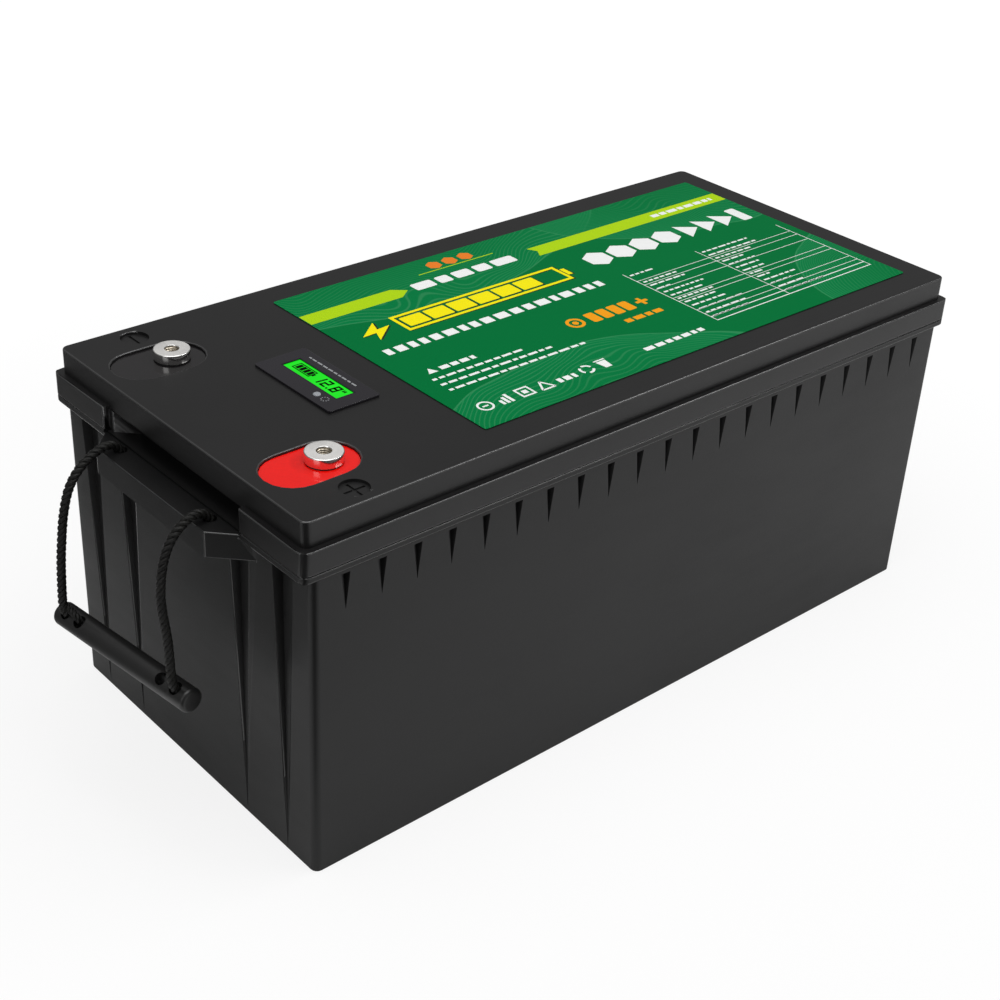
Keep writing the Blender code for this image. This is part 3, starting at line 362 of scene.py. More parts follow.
# ------------------------------------------------------------------ materials
# a key that is also a material slot of the CAD dresses every piece in that slot
TIN = (0.90, 0.89, 0.87)
MAT = {
    "case_plastic": moulded("case_abs_black", (0.0070, 0.0070, 0.0071), rough=0.40,
                            grain=1300.0, spec=0.34),
    "lid_plastic": moulded("lid_abs_black", (0.0085, 0.0083, 0.0085), rough=0.36,
                           grain=1900.0, grain_depth=0.000044, spec=0.40),
    # edge materials for the rounded edges: their base colour, lighter than the plastic beside them, is a
    # painted highlight
    "case_edge": moulded("case_edge_painted_highlight", (0.0180, 0.0180, 0.0184), rough=0.24,
                         grain=900.0, grain_depth=0.000024, strength=0.12, spec=0.85, flow=0.03),
    "lid_edge": moulded("lid_edge_painted_highlight", (0.0300, 0.0300, 0.0305), rough=0.20,
                        grain=900.0, grain_depth=0.000024, strength=0.12, spec=1.0, flow=0.03),
    "bezel_edge": moulded("bezel_edge_painted_highlight", (0.0240, 0.0230, 0.0260), rough=0.22,
                          grain=900.0, grain_depth=0.000016, strength=0.1, spec=0.9, flow=0.03),
    "positive_cup_red": moulded("cup_gloss_red", (0.80, 0.0050, 0.0025), rough=0.055,
                                grain=500.0, grain_depth=0.000016, strength=0.12,
                                spread=0.05, spec=0.5, flow=0.02),
    "negative_cup_black": moulded("cup_gloss_black", (0.0095, 0.0085, 0.0092), rough=0.055,
                                  grain=500.0, grain_depth=0.000016, strength=0.12,
                                  spec=0.6, flow=0.02),
    "post_negative": metal("post_tin_plate_negative", TIN, rough=0.16,
                           turned=(POST_X, POST_Y), top=0.42),
    "post_positive": metal("post_tin_plate_positive", TIN, rough=0.16,
                           turned=(POST_X, -POST_Y), top=0.42),
    # brass-tinted bore metal, its base colour kept much darker than the tin post as painted shade inside the
    # hole
    "post_bore": metal("post_bore_brass_and_painted_shade", (0.46, 0.41, 0.33), rough=0.26),
    "terminal_metal": metal("busbar_tin_plate", (0.78, 0.77, 0.74), rough=0.28),
    "zinc_steel": metal("zinc_plated_steel", (0.60, 0.61, 0.63), rough=0.30),
    "bms_aluminium": metal("bare_aluminium", (0.76, 0.77, 0.78), rough=0.34),
    "strap_steel": metal("strap_steel", (0.48, 0.49, 0.51), rough=0.34),
    "seal_rubber": sheet("seal_rubber", (0.012, 0.012, 0.012), rough=0.62),
    "sealant": sheet("joint_sealant", (0.016, 0.016, 0.016), rough=0.5),
    "label_film": label_green(),
    "bezel_plastic": moulded("bezel_gloss_black", (0.0130, 0.0115, 0.0155), rough=0.24,
                             grain_depth=0.00002, strength=0.12, spec=0.45),
    "display_green": lit_display(),
    "key_plastic": moulded("key_grey_silicone", (0.30, 0.32, 0.34), rough=0.42,
                           grain=2200.0, spread=0.08),
    "circuit_board": sheet("circuit_board_mask", (0.01, 0.11, 0.045), rough=0.38, weave=260.0),
    "wire_black": moulded("wire_insulation_black", (0.016, 0.016, 0.016), rough=0.42,
                          grain=900.0),
    "cable_red": moulded("wire_insulation_red", (0.52, 0.012, 0.010), rough=0.42,
                         grain=900.0, spread=0.08),
    "grip_plastic": moulded("grip_polypropylene", (0.0085, 0.0083, 0.0082), rough=0.36,
                            grain=1100.0, grain_depth=0.00008, strength=0.4, spec=0.6),
    "rope_fibre": rope_fibre(),
    "cell_film": sheet("cell_film_blue", (0.010, 0.085, 0.30), rough=0.34),
    "plug_plastic": moulded("plug_nylon", (0.74, 0.71, 0.64), rough=0.42,
                            grain=900.0, spread=0.05),
    "fibre_board": sheet("glass_fibre_board", (0.42, 0.38, 0.13), rough=0.5, weave=320.0),
    "foam": sheet("closed_cell_foam", (0.032, 0.032, 0.034), rough=0.85),
    "yellow": ink("ink_yellow", (0.98, 0.86, 0.0)),
    "white": ink("ink_white", (0.93, 0.94, 0.93)),
    "lime": ink("ink_lime", (0.44, 0.69, 0.008), spec=0.04),
    "orange": ink("ink_orange", (0.95, 0.36, 0.003)),
    "deep_orange": ink("ink_deep_orange", (0.86, 0.22, 0.018)),
    "shadow": ink("ink_shadow", (0.016, 0.030, 0.012)),
    "segment": ink("display_segment_black", (0.0015, 0.006, 0.0015), rough=0.45, spec=0.02),
    "display_frame": ink("display_frame_violet", (0.020, 0.006, 0.026), rough=0.3),
    "grey": ink("bezel_print_grey", (0.32, 0.33, 0.34)),
}

for node_name, node_object in NODES.items():
    node_object.data.materials.clear()
    node_object.data.materials.append(MAT[SLOT[node_name]])
for polarity in ("negative", "positive"):
    NODES["terminal_post_" + polarity].data.materials[0] = MAT["post_" + polarity]


# ------------------------------------------------------------------ mesh helpers
def link_new(name, data):
    ob = bpy.data.objects.new(name, data)
    bpy.context.scene.collection.objects.link(ob)
    return ob


def smooth(mesh, degrees):
    """Smooth shading, with edges over the angle left sharp."""
    mesh.shade_smooth()
    mesh.set_sharp_from_angle(angle=radians(degrees))


def new_object(name, bm, material=None, sharp_over=None):
    bmesh.ops.recalc_face_normals(bm, faces=bm.faces)
    mesh = bpy.data.meshes.new(name)
    bm.to_mesh(mesh)
    bm.free()
    ob = link_new(name, mesh)
    if material is not None:
        mesh.materials.append(material)
    if sharp_over is not None:
        smooth(mesh, sharp_over)
    return ob


def ring(bm, radii, z, x=0.0, y=0.0):
    """A level ring of vertices, one for each radius."""
    turn = 2 * pi
    n = len(radii)
    return [bm.verts.new(((x + r * cos(turn * i / n)) * MM, (y + r * sin(turn * i / n)) * MM,
                          z * MM)) for i, r in enumerate(radii)]


def rings(bm, profile, count, x=0.0, y=0.0):
    """Rings for a profile of (radius, z), with one vertex where the radius is zero."""
    return [ring(bm, [r] * count if r else [0.0], z, x, y) for r, z in profile]


def skin(bm, rows, count):
    """Faces between rings; a row of one vertex is a pole."""
    for a, b in zip(rows, rows[1:]):
        for i in range(count):
            j = (i + 1) % count
            if len(a) == 1:
                bm.faces.new((a[0], b[i], b[j]))
            elif len(b) == 1:
                bm.faces.new((a[i], a[j], b[0]))
            else:
                bm.faces.new((a[i], a[j], b[j], b[i]))


def lathe(name, profile, count, place, sharp_over, material=None):
    bm = bmesh.new()
    skin(bm, rings(bm, profile, count), count)
    bmesh.ops.transform(bm, matrix=place, verts=bm.verts)
    return new_object(name, bm, material, sharp_over)


def drill(ob, cutter):
    """Cut the cutter out of the object and remove the cutter."""
    cut = ob.modifiers.new("cut", "BOOLEAN")
    cut.operation, cut.solver, cut.object = "DIFFERENCE", "EXACT", cutter
    depsgraph = bpy.context.evaluated_depsgraph_get()
    depsgraph.update()
    mesh = bpy.data.meshes.new_from_object(ob.evaluated_get(depsgraph), depsgraph=depsgraph)
    ob.modifiers.clear()
    ob.data = mesh
    mesh.name = ob.name
    bpy.data.objects.remove(cutter, do_unlink=True)


# ------------------------------------------------------------------ rounded case, lid and bezel
CREASE_ANGLE = radians(28.0)
THIN_CORNER = radians(35)  # picked edges meeting at less than this stay sharp


def rounded_copy(node, width, pick, segments, edge_material):
    """Replace a CAD piece by a copy with rounded edges; pick(a, b) gets an edge's ends."""
    source = NODES[node].data
    bm = bmesh.new()
    bm.from_mesh(source)
    bmesh.ops.remove_doubles(bm, verts=bm.verts, dist=2e-6)
    bmesh.ops.dissolve_degenerate(bm, edges=bm.edges, dist=1e-6)
    bmesh.ops.triangulate(bm, faces=bm.faces)
    weight = bm.edges.layers.float.new("bevel_weight_edge")
    creases = {e for e in bm.edges
               if len(e.link_faces) == 2 and e.calc_face_angle(0.0) > CREASE_ANGLE}
    chosen = {e for e in creases if pick(e.verts[0].co / MM, e.verts[1].co / MM)}
    for vert in bm.verts:
        meeting = [e for e in vert.link_edges if e in chosen]
        for i, first in enumerate(meeting):
            for second in meeting[i + 1:]:
                a = first.other_vert(vert).co - vert.co
                b = second.other_vert(vert).co - vert.co
                if a.angle(b, 0.0) < THIN_CORNER:
                    chosen.discard(first)
                    chosen.discard(second)
    for e in bm.edges:
        e[weight] = 1.0 if e in chosen else 0.0
        e.smooth = e not in creases or e in chosen
    for face in bm.faces:
        face.smooth = True
    ob = new_object(node + "_body", bm, source.materials[0])
    bevel = ob.modifiers.new("round", "BEVEL")
    bevel.width = width * MM
    bevel.segments = segments
    bevel.limit_method = "WEIGHT"
    bevel.use_clamp_overlap = False
    bevel.miter_outer = "MITER_SHARP"
    # the bevel faces take the edge material, whose lighter base colour paints a highlight along each rounded
    # edge
    ob.data.materials.append(edge_material)
    bevel.material = 1
    normals = ob.modifiers.new("even", "WEIGHTED_NORMAL")
    normals.mode = "FACE_AREA"
    normals.weight = 90
    normals.thresh = 0.01
    normals.keep_sharp = True
    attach(ob, body_of(NODES[node])[0])
    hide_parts(node)


def outside(a, b, x=260.5, y=122.5):
    """Both ends lie beyond x or y on either side of the middle."""
    return all(abs(p.x) > x or abs(p.y) > y for p in (a, b))


def level(a, b, *heights):
    """Both ends lie at one of the heights."""
    return any(abs(a.z - z) < 0.06 and abs(b.z - z) < 0.06 for z in heights)


def tub_edges(a, b):
    if level(a, b, 193.3, 197.0):
        return outside(a, b)
    if level(a, b, 0.0):
        return outside(a, b, x=249.0, y=117.0)
    length = (a - b).length
    near_x = min(abs(a.x), abs(b.x))
    far_y = max(abs(a.y), abs(b.y))
    low_z = min(a.z, b.z)
    if near_x > 255.0 and far_y < 75.0:
        return low_z > 179.5 and length > 3.0
    # the long edges of the end wall grooves, down to where they get too narrow
    return near_x > 254.3 and far_y < 112.0 and low_z > 50.0 and length > 20.0


def lid_edges(a, b):
    if level(a, b, LID_TOP):
        at_cup = all(-252.0 < p.x < -189.0 and 50.0 < abs(p.y) < 94.0 for p in (a, b))
        return at_cup or outside(a, b, x=250.0, y=112.0)
    if level(a, b, 211.5, 197.4):
        return outside(a, b)
    at_end = all(abs(p.x) > 255.0 and 50.0 < abs(p.y) < 70.0 for p in (a, b))
    return abs(a.z - b.z) > 5.0 and at_end


def bezel_edges(a, b):
    rim = all(p.x < -180.9 or p.x > -146.1 or abs(p.y) > 35.7 for p in (a, b))
    return level(a, b, BEZEL_TOP) and rim


rounded_copy("case_tub", width=0.7, pick=tub_edges, segments=3, edge_material=MAT["case_edge"])
rounded_copy("lid", width=0.75, pick=lid_edges, segments=3, edge_material=MAT["lid_edge"])
rounded_copy("meter_bezel", width=0.35, pick=bezel_edges, segments=2,
             edge_material=MAT["bezel_edge"])
for node_name in ("meter_display", "terminal_o_ring_negative", "terminal_o_ring_positive",
                  "meter_key", "terminal_cup_negative", "terminal_cup_positive", "top_label"):
    smooth(NODES[node_name].data, 35)


# ------------------------------------------------------------------ terminal posts
POST_SIDES = 72
# (radius, z) from the foot, up the outside, over the flange and into the mouth of the bore
POST_PROFILE = (
    (0.0, 211.0), (2.6, 211.0), (2.6, 200.0), (6.6, 200.0), (7.2, 200.6), (7.2, 225.7),
    (10.1, 225.7), (10.32, 225.78), (10.52, 225.98), (10.6, 226.3), (10.6, 230.95),
    (10.56, 231.14), (10.44, 231.32), (10.26, 231.44), (10.05, 231.5), (9.2, 231.5),
    (7.6, 231.5), (5.6, 231.5), (4.35, 231.5), (4.22, 231.42), (4.05, 231.1),
)
BORE_END = ((3.4, 217.6), (0.0, 215.9))
BORE_RADIUS = 3.75
BORE_FLARE = 0.5  # extra radius at the start of the thread
THREAD_TOP, THREAD_BOTTOM = 230.8, 219.0
THREAD_PITCH, THREAD_DEPTH = 1.25, 0.45
THREAD_LEAD_IN = 0.8


def thread_radius(z, i):
    """Radius of the female thread at height z on side i."""
    phase = (z / THREAD_PITCH - i / POST_SIDES) % 1.0
    triangle = 1 - abs(2 * phase - 1)
    crest = max(0.0, min(1.0, (triangle - 0.15) / 0.7))
    cut = min(1.0, (THREAD_TOP - z) / THREAD_LEAD_IN)
    return (BORE_RADIUS + BORE_FLARE * (1 - cut) - THREAD_DEPTH * cut * crest
            + THREAD_DEPTH * 0.5 * cut)


def make_post(polarity, y):
    """Flanged stud with a threaded bore."""
    bm = bmesh.new()
    rows = rings(bm, POST_PROFILE, POST_SIDES, POST_X, y)
    z = THREAD_TOP
    while z > THREAD_BOTTOM:
        rows.append(ring(bm, [thread_radius(z, i) for i in range(POST_SIDES)], z, POST_X, y))
        z -= THREAD_PITCH / 8
    rows += rings(bm, BORE_END, POST_SIDES, POST_X, y)
    skin(bm, rows, POST_SIDES)
    ob = new_object("stud_post_" + polarity, bm, MAT["post_" + polarity], sharp_over=30)
    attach(ob, "case")
    # the faces inside the bore take the darker brass material: a brass tint, with painted shade in the hole
    ob.data.materials.append(MAT["post_bore"])
    for face in ob.data.polygons:
        centre = face.center / MM
        from_axis = (Vector((centre.x, centre.y)) - Vector((POST_X, y))).length
        if 212 < centre.z < 231.2 and from_axis < 4.6:
            face.material_index = 1
    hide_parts("terminal_post_" + polarity)


make_post("negative", POST_Y)
make_post("positive", -POST_Y)


# ------------------------------------------------------------------ handle grips
# end_sign is -1 at the front and 1 at the rear, side_sign is -1 or 1 along Y
GRIP_RADIUS, GRIP_LENGTH = 7.2, 117.2
GRIP_CENTRE = (295.8, -2.6, 97.8)  # of the rear grip
GRIP_YAW, GRIP_TILT, GRIP_ROLL = 6.0, 0.7, 32.0  # degrees about Z, X and Y
GRIP_END_ROUND = 2.2
GRIP_RINGS_Y = (-56.0, -42.9, -30.0)
HOLE_Y, HOLE_PITCH, HOLE_RADIUS = 49.0, 12.0, 3.9
CUTTER_REACH = 12.0
CUTTER_TURN = 0.05  # radians about its own axis


def grip_frame(end_sign):
    centre = Vector((end_sign * GRIP_CENTRE[0], GRIP_CENTRE[1], GRIP_CENTRE[2])) * MM
    turn = (Matrix.Rotation(radians(-end_sign * GRIP_YAW), 4, "Z")
            @ Matrix.Rotation(radians(-GRIP_TILT), 4, "X")
            @ Matrix.Rotation(radians(end_sign * GRIP_ROLL), 4, "Y"))
    return Matrix.Translation(centre) @ turn


def on_grip(end_sign, x, y, z):
    """A place given in the grip's frame, with x towards the box."""
    return grip_frame(end_sign) @ (Vector((-end_sign * x, y, z)) * MM) / MM


def make_grip(end, end_sign):
    """Round bar with two rope holes near each end."""
    tip = -GRIP_LENGTH / 2
    profile = [(0.0, tip), (2.0, tip)]
    for i in range(9):
        a = pi / 2 * i / 8
        profile.append((GRIP_RADIUS - GRIP_END_ROUND + GRIP_END_ROUND * sin(a),
                        tip + GRIP_END_ROUND - GRIP_END_ROUND * cos(a)))
    profile += [(GRIP_RADIUS, y) for y in GRIP_RINGS_Y]
    profile += [(r, -z) for r, z in reversed(profile)]
    grip = lathe("grip_bar_" + end, profile, 56, Matrix.Rotation(radians(-90), 4, "X"),
                 sharp_over=40, material=MAT["grip_plastic"])
    cutter_profile = ((0.0, -CUTTER_REACH), (HOLE_RADIUS, -CUTTER_REACH),
                      (HOLE_RADIUS, CUTTER_REACH), (0.0, CUTTER_REACH))
    for side_sign in (1, -1):
        for y in (side_sign * HOLE_Y, side_sign * (HOLE_Y - HOLE_PITCH)):
            place = Matrix.Translation((0, y * MM, 0)) @ Matrix.Rotation(CUTTER_TURN, 4, "Z")
            drill(grip, lathe("hole_cutter", cutter_profile, 40, place, sharp_over=30))
    bm = bmesh.new()
    bm.from_mesh(grip.data)
    bmesh.ops.remove_doubles(bm, verts=bm.verts, dist=1e-6)
    bmesh.ops.transform(bm, matrix=grip_frame(end_sign), verts=bm.verts)
    bm.to_mesh(grip.data)
    bm.free()
    grip.data.materials.clear()
    grip.data.materials.append(MAT["grip_plastic"])
    grip.data.shade_smooth()
    bevel = grip.modifiers.new("round", "BEVEL")
    bevel.width = 0.35 * MM
    bevel.segments = 2
    bevel.limit_method = "ANGLE"
    bevel.angle_limit = radians(38)
    bevel.harden_normals = True
    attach(grip, end + "_grip")
    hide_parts("handle_grip_" + end)


# ------------------------------------------------------------------ handle ropes
LEDGE_TOP = 195.6
ROPE_X, ROPE_Y, ROPE_RADIUS = 263.8, 44.6, 2.75
ROPE_LAY = 11.0  # length of one turn of the strands
YARN_LAY = 11.0
ROPE_SIDES = 14
TAPER_RINGS = 6
LEDGE_KNOT_Z = 182.5
SPLIT_Z = 146.0  # where the upper and lower parts of a rope meet

# stations (out from ROPE_X, up from LEDGE_TOP), first shared, then by side_sign
LEG_START = ((0.0, -6.0), (0.0, -0.5), (4.6, 4.6), (13.0, 4.4))
LEG = {
    -1: ((22.8, -3.2), (29.2, -14.3), (32.5, -28.0), (33.3, -41.0), (31.9, -62.0)),
    1: ((24.6, -2.2), (32.7, -13.0), (37.3, -28.0), (39.9, -45.0), (41.6, -62.0)),
}
# start and end of the upper part's blend, in the same (out, up) terms
LEG_BLEND = {
    -1: ((1.15, -1.64), (29.83, -42.6)),
    1: ((2.57, -3.06), (39.85, -47.5)),
}
# (x, z) in the grip's frame, down through the outer hole
THROUGH_GRIP = ((2.0, 13.5), (0.1, 7.2), (0.0, 1.0), (0.0, -6.5), (0.0, -8.2))
# (x, y, z) in the grip's frame, from above the outer hole into the inner one
TAIL = ((2.6, 49.2, 11.6), (2.1, 45.0, 9.9), (1.7, 41.6, 9.6), (1.1, 39.4, 9.0),
        (0.7, 38.3, 7.0), (0.5, 38.0, 3.6))


def spline(points, per):
    """Catmull-Rom curve with a number of steps per span."""
    P = [Vector(p) for p in points]
    P = [P[0] * 2 - P[1]] + P + [P[-1] * 2 - P[-2]]
    curve = []
    for i in range(1, len(P) - 2):
        p0, p1, p2, p3 = P[i - 1:i + 3]
        for k in range(per):
            t = k / per
            curve.append(0.5 * ((2 * p1) + (p2 - p0) * t
                                + (2 * p0 - 5 * p1 + 4 * p2 - p3) * t * t
                                + (3 * p1 - p0 - 3 * p2 + p3) * t ** 3))
    curve.append(P[-2])
    return curve


def even(path, step):
    """The path again in even steps no longer than step, and the step it got."""
    reached = [0.0]
    for a, b in zip(path, path[1:]):
        reached.append(reached[-1] + (b - a).length)
    total = reached[-1]
    count = max(2, int(ceil(total / step)))
    points, k = [], 0
    for i in range(count + 1):
        along = total * i / count
        while k < len(reached) - 2 and reached[k + 1] < along:
            k += 1
        part = (along - reached[k]) / max(1e-9, reached[k + 1] - reached[k])
        points.append(path[k].lerp(path[k + 1], min(1.0, max(0.0, part))))
    return points, total / count


def path_frames(path):
    """Rotation-minimising (tangent, u, v) along a path."""
    last = len(path) - 1
    tangents = [(path[min(last, i + 1)] - path[max(0, i - 1)]).normalized()
                for i in range(last + 1)]
    aside = Vector((0, 1, 0)) if abs(tangents[0].y) < 0.9 else Vector((1, 0, 0))
    u = tangents[0].cross(aside).normalized()
    out = []
    for tangent in tangents:
        u = (u - tangent * u.dot(tangent)).normalized()
        out.append((tangent, u, tangent.cross(u)))
    return out


def tube_band(bm, uv, a, b, u_a, u_b, v_shift=0.0):
    """Smooth faces with UVs between two rings of a tube."""
    count = len(a)
    for j in range(count):
        k = (j + 1) % count
        face = bm.faces.new((a[j], a[k], b[k], b[j]))
        face.smooth = True
        for loop, (u, v) in zip(face.loops, ((u_a, j), (u_a, j + 1), (u_b, j + 1), (u_b, j))):
            loop[uv].uv = (u, v / count * 0.8 + v_shift)


def strands(bm, uv, path, first, last, step, seed, radius=ROPE_RADIUS, lay=ROPE_LAY,
            tapered=False):
    """Three twisted strands, each of twisted yarns, along part of a path."""
    frames = path_frames(path)
    for k in range(3):
        previous = None
        for i in range(first, last + 1):
            tangent, u, v = frames[i]
            s = i * step
            fit = 1.0
            if tapered:
                fit -= 0.5 * max(0, i - last + TAPER_RINGS) / TAPER_RINGS
            strand_radius = radius * 0.485 * fit
            offset = (radius - radius * 0.485) * fit
            a = 2 * pi * s / lay + 2 * pi * k / 3 + seed
            outward = u * cos(a) + v * sin(a)
            centre = path[i] + outward * offset
            # the strand's own direction is tilted by its helix
            side = tangent.cross(outward)
            tilt = atan2(2 * pi * offset, lay)
            direction = (tangent * cos(tilt) + side * sin(tilt)).normalized()
            across = direction.cross(outward).normalized()
            loop = []
            for j in range(ROPE_SIDES):
                b = 2 * pi * j / ROPE_SIDES
                yarn = (1.0 + 0.085 * cos(5 * (b - 2 * pi * s / YARN_LAY))
                        + 0.03 * sin(9 * b + 1.7 * s))
                section = outward * cos(b) * 0.94 + across * sin(b) * 1.06
                loop.append(bm.verts.new((centre + section * strand_radius * yarn) * MM))
            if previous is None:
                bm.faces.new(list(reversed(loop)))
            else:
                tube_band(bm, uv, previous, loop, (i - 1) * step * 0.1 + k * 3.1,
                          s * 0.1 + k * 3.1, k * 1.7)
            previous = loop
        bm.faces.new(previous)


def knot(bm, uv, centre, axes, size, radius):
    """Tight overhand knot, as a closed loop of rope."""
    steps = 150
    path = []
    for i in range(steps):
        t = 2 * pi * i / steps
        p = Vector((sin(t) + 2 * sin(2 * t), cos(t) - 2 * cos(2 * t), -1.25 * sin(3 * t)))
        path.append(centre + axes @ (p * size))
    loops = []
    for i in range(steps):
        tangent = (path[(i + 1) % steps] - path[i - 1]).normalized()
        outward = path[i] - centre
        u = (outward - tangent * outward.dot(tangent)).normalized()
        v = tangent.cross(u)
        loop = []
        for j in range(ROPE_SIDES):
            b = 2 * pi * j / ROPE_SIDES
            swell = 1.0 + 0.10 * cos(3 * b + 2 * pi * 9 * i / steps)
            loop.append(bm.verts.new((path[i] + (u * cos(b) + v * sin(b)) * radius * swell) * MM))
        loops.append(loop)
    for i in range(steps):
        tube_band(bm, uv, loops[i], loops[(i + 1) % steps], i * 0.03, (i + 1) * 0.03)


def rope_guides(end_sign, side_sign):
    """Guide points from inside the ledge down through the grip's outer hole."""
    hole_y = side_sign * HOLE_Y
    ledge_y = side_sign * ROPE_Y
    mouth = on_grip(end_sign, 0, hole_y, GRIP_RADIUS)
    points = [(end_sign * ROPE_X, ledge_y, LEDGE_KNOT_Z + 3.0)]
    for out, up in LEG_START + LEG[side_sign]:
        part = min(1.0, max(0.0, -up / (LEDGE_TOP - mouth.z)))
        points.append((end_sign * (ROPE_X + out), ledge_y + (mouth.y - ledge_y) * part,
                       LEDGE_TOP + up))
    points += [tuple(on_grip(end_sign, x, hole_y, z)) for x, z in THROUGH_GRIP]
    return points


def make_rope(end, end_sign, side, side_sign):
    """One rope: a root in the ledge, an upper part that bends, a lower part at the grip."""
    path, step = even(spline(rope_guides(end_sign, side_sign), per=12), step=0.5)
    hole_y = side_sign * HOLE_Y
    last = len(path) - 1
    # the penalty keeps the split out of the first third of the path
    split = min(range(last + 1), key=lambda i: abs(path[i].z - SPLIT_Z)
                + (0 if i > len(path) // 3 else 999))
    mouth = next(i for i, p in enumerate(path) if p.z > LEDGE_TOP - 3.0)
    for part, start, stop in (("root", 0, mouth), ("upper", mouth, split),
                              ("lower", split, last)):
        bm = bmesh.new()
        uv = bm.loops.layers.uv.new("strand")
        strands(bm, uv, path, start, stop, step, seed=0.6 * side_sign + 0.9 * end_sign)
        if part == "root":
            centre = Vector((end_sign * ROPE_X, side_sign * ROPE_Y, LEDGE_KNOT_Z - 0.5))
            knot(bm, uv, centre, Matrix.Identity(3), size=1.35, radius=1.75)
        elif part == "lower":
            knot(bm, uv, on_grip(end_sign, 0, hole_y, -10.4), grip_frame(end_sign).to_3x3(),
                 size=0.98, radius=1.45)
            if side_sign > 0:
                tail, tail_step = even(spline([on_grip(end_sign, *p) for p in TAIL], per=10),
                                       step=0.4)
                strands(bm, uv, tail, 0, len(tail) - 1, tail_step, seed=0.4, radius=2.3,
                        lay=9.0, tapered=True)
        ob = new_object("rope_%s_%s_%s" % (end, side, part), bm, MAT["rope_fibre"])
        if part == "root":
            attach(ob, "case")
        elif part == "upper":
            blend_start, blend_end = [(end_sign * (ROPE_X + out) * MM, 0, (LEDGE_TOP + up) * MM)
                                      for out, up in LEG_BLEND[side_sign]]
            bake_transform(ob, "case", end + "_ropes", start=blend_start, end=blend_end)
            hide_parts("handle_rope_%s_%s" % (end, side))
        else:
            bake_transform(ob, end + "_ropes", end + "_grip",
                     start=tuple(on_grip(end_sign, 1.2, hole_y, 26.0) * MM),
                     end=tuple(on_grip(end_sign, 0, hole_y, 8.0) * MM))


for end, end_sign in (("front", -1), ("rear", 1)):
    make_grip(end, end_sign)
    for side, side_sign in (("positive_side", -1), ("negative_side", 1)):
        make_rope(end, end_sign, side, side_sign)


# ------------------------------------------------------------------ print helpers
rng = random.Random(7)


def ngon(x, y, sides, radius_x, radius_y, phase=0.0):
    return [(x + radius_x * cos(2 * pi * i / sides + phase),
             y + radius_y * sin(2 * pi * i / sides + phase)) for i in range(sides)]


class Print:
    """Collects flat shapes of one ink into one thin solid piece; z is the printed surface."""

    def __init__(self, name, ink_key, z, thick=0.035):
        self.name = name
        self.material = MAT[ink_key]
        self.bottom, self.top = (z - 0.03) * MM, (z + thick) * MM
        self.bm = bmesh.new()

    def poly(self, points):
        low = [self.bm.verts.new((x * MM, y * MM, self.bottom)) for x, y in points]
        high = [self.bm.verts.new((x * MM, y * MM, self.top)) for x, y in points]
        for i in range(len(points)):
            j = (i + 1) % len(points)
            self.bm.faces.new((low[i], low[j], high[j], high[i]))
        self.bm.faces.new(list(reversed(low)))
        self.bm.faces.new(high)

    def rect(self, x, y, w, h):
        """Rectangle from its corner at least x and y."""
        self.poly([(x, y), (x + w, y), (x + w, y + h), (x, y + h)])

    def rects(self, x, y, table):
        """Rectangles (dx, dy, width, height) from a shared origin."""
        for dx, dy, w, h in table:
            self.rect(x + dx, y + dy, w, h)

    def block(self, x, y, w, h, radius):
        """Rectangle with rounded corners."""
        points = []
        corners = ((x + w - radius, y + h - radius), (x + radius, y + h - radius),
                   (x + radius, y + radius), (x + w - radius, y + radius))
        for k, (cx, cy) in enumerate(corners):
            for i in range(6):
                a = pi / 2 * (k + i / 5)
                points.append((cx + radius * cos(a), cy + radius * sin(a)))
        self.poly(points)

    def arc(self, cx, cy, inner, outer, start=0.0, stop=2 * pi, count=28):
        """Part of a ring, as quads."""
        for i in range(count):
            a = start + (stop - start) * i / count
            b = start + (stop - start) * (i + 1) / count
            self.poly([(cx + inner * cos(a), cy + inner * sin(a)),
                       (cx + outer * cos(a), cy + outer * sin(a)),
                       (cx + outer * cos(b), cy + outer * sin(b)),
                       (cx + inner * cos(b), cy + inner * sin(b))])

    def words(self, x, y, length, h, gap, widths, fill=0.78):
        """A line of plain bars; gap, widths and fill are parts of the line height h."""
        end = x + length
        while x < end - widths[0] * h * 0.5:
            w = min(rng.uniform(*widths) * h, end - x)
            self.rect(x, y, w, h * fill)
            x += w + gap * h

    def done(self):
        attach(new_object(self.name, self.bm, self.material), "case")


# ------------------------------------------------------------------ label print
LABEL_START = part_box("top_label")[0].x / MM + 0.4
LABEL_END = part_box("top_label")[1].x / MM - 0.4
yellow = Print("label_print_yellow", "yellow", LABEL_TOP + 0.03)
shadow = Print("label_print_shadow", "shadow", LABEL_TOP, thick=0.025)
white = Print("label_print_white", "white", LABEL_TOP + 0.03)
lime = Print("label_print_lime", "lime", LABEL_TOP)
orange = Print("label_print_orange", "orange", LABEL_TOP)
deep_orange = Print("label_print_deep_orange", "deep_orange", LABEL_TOP)


def bolt(pr, x, y, w, h):
    pr.poly([(x + w * 0.72, y + h), (x, y + h * 0.40), (x + w * 0.44, y + h * 0.42),
             (x + w * 0.28, y), (x + w, y + h * 0.62), (x + w * 0.58, y + h * 0.58)])


def battery(pr, x, y, w, h):
    """Outline with a nub at its +X end and six blocks inside."""
    line, gap = 2.4, 2.0
    pr.rects(x, y, ((0, 0, w, line), (0, h - line, w, line),
                    (0, line + 0.01, line, h - 2 * line - 0.02),
                    (w - line, line + 0.01, line, h - 2 * line - 0.02),
                    (w + 0.9, h * 0.28, 3.6, h * 0.44)))
    pitch = (w - 2 * line - gap) / 7
    for i in range(6):
        pr.block(x + line + gap + pitch * i, y + line + gap, pitch - gap,
                 h - 2 * line - 2 * gap, radius=1.0)


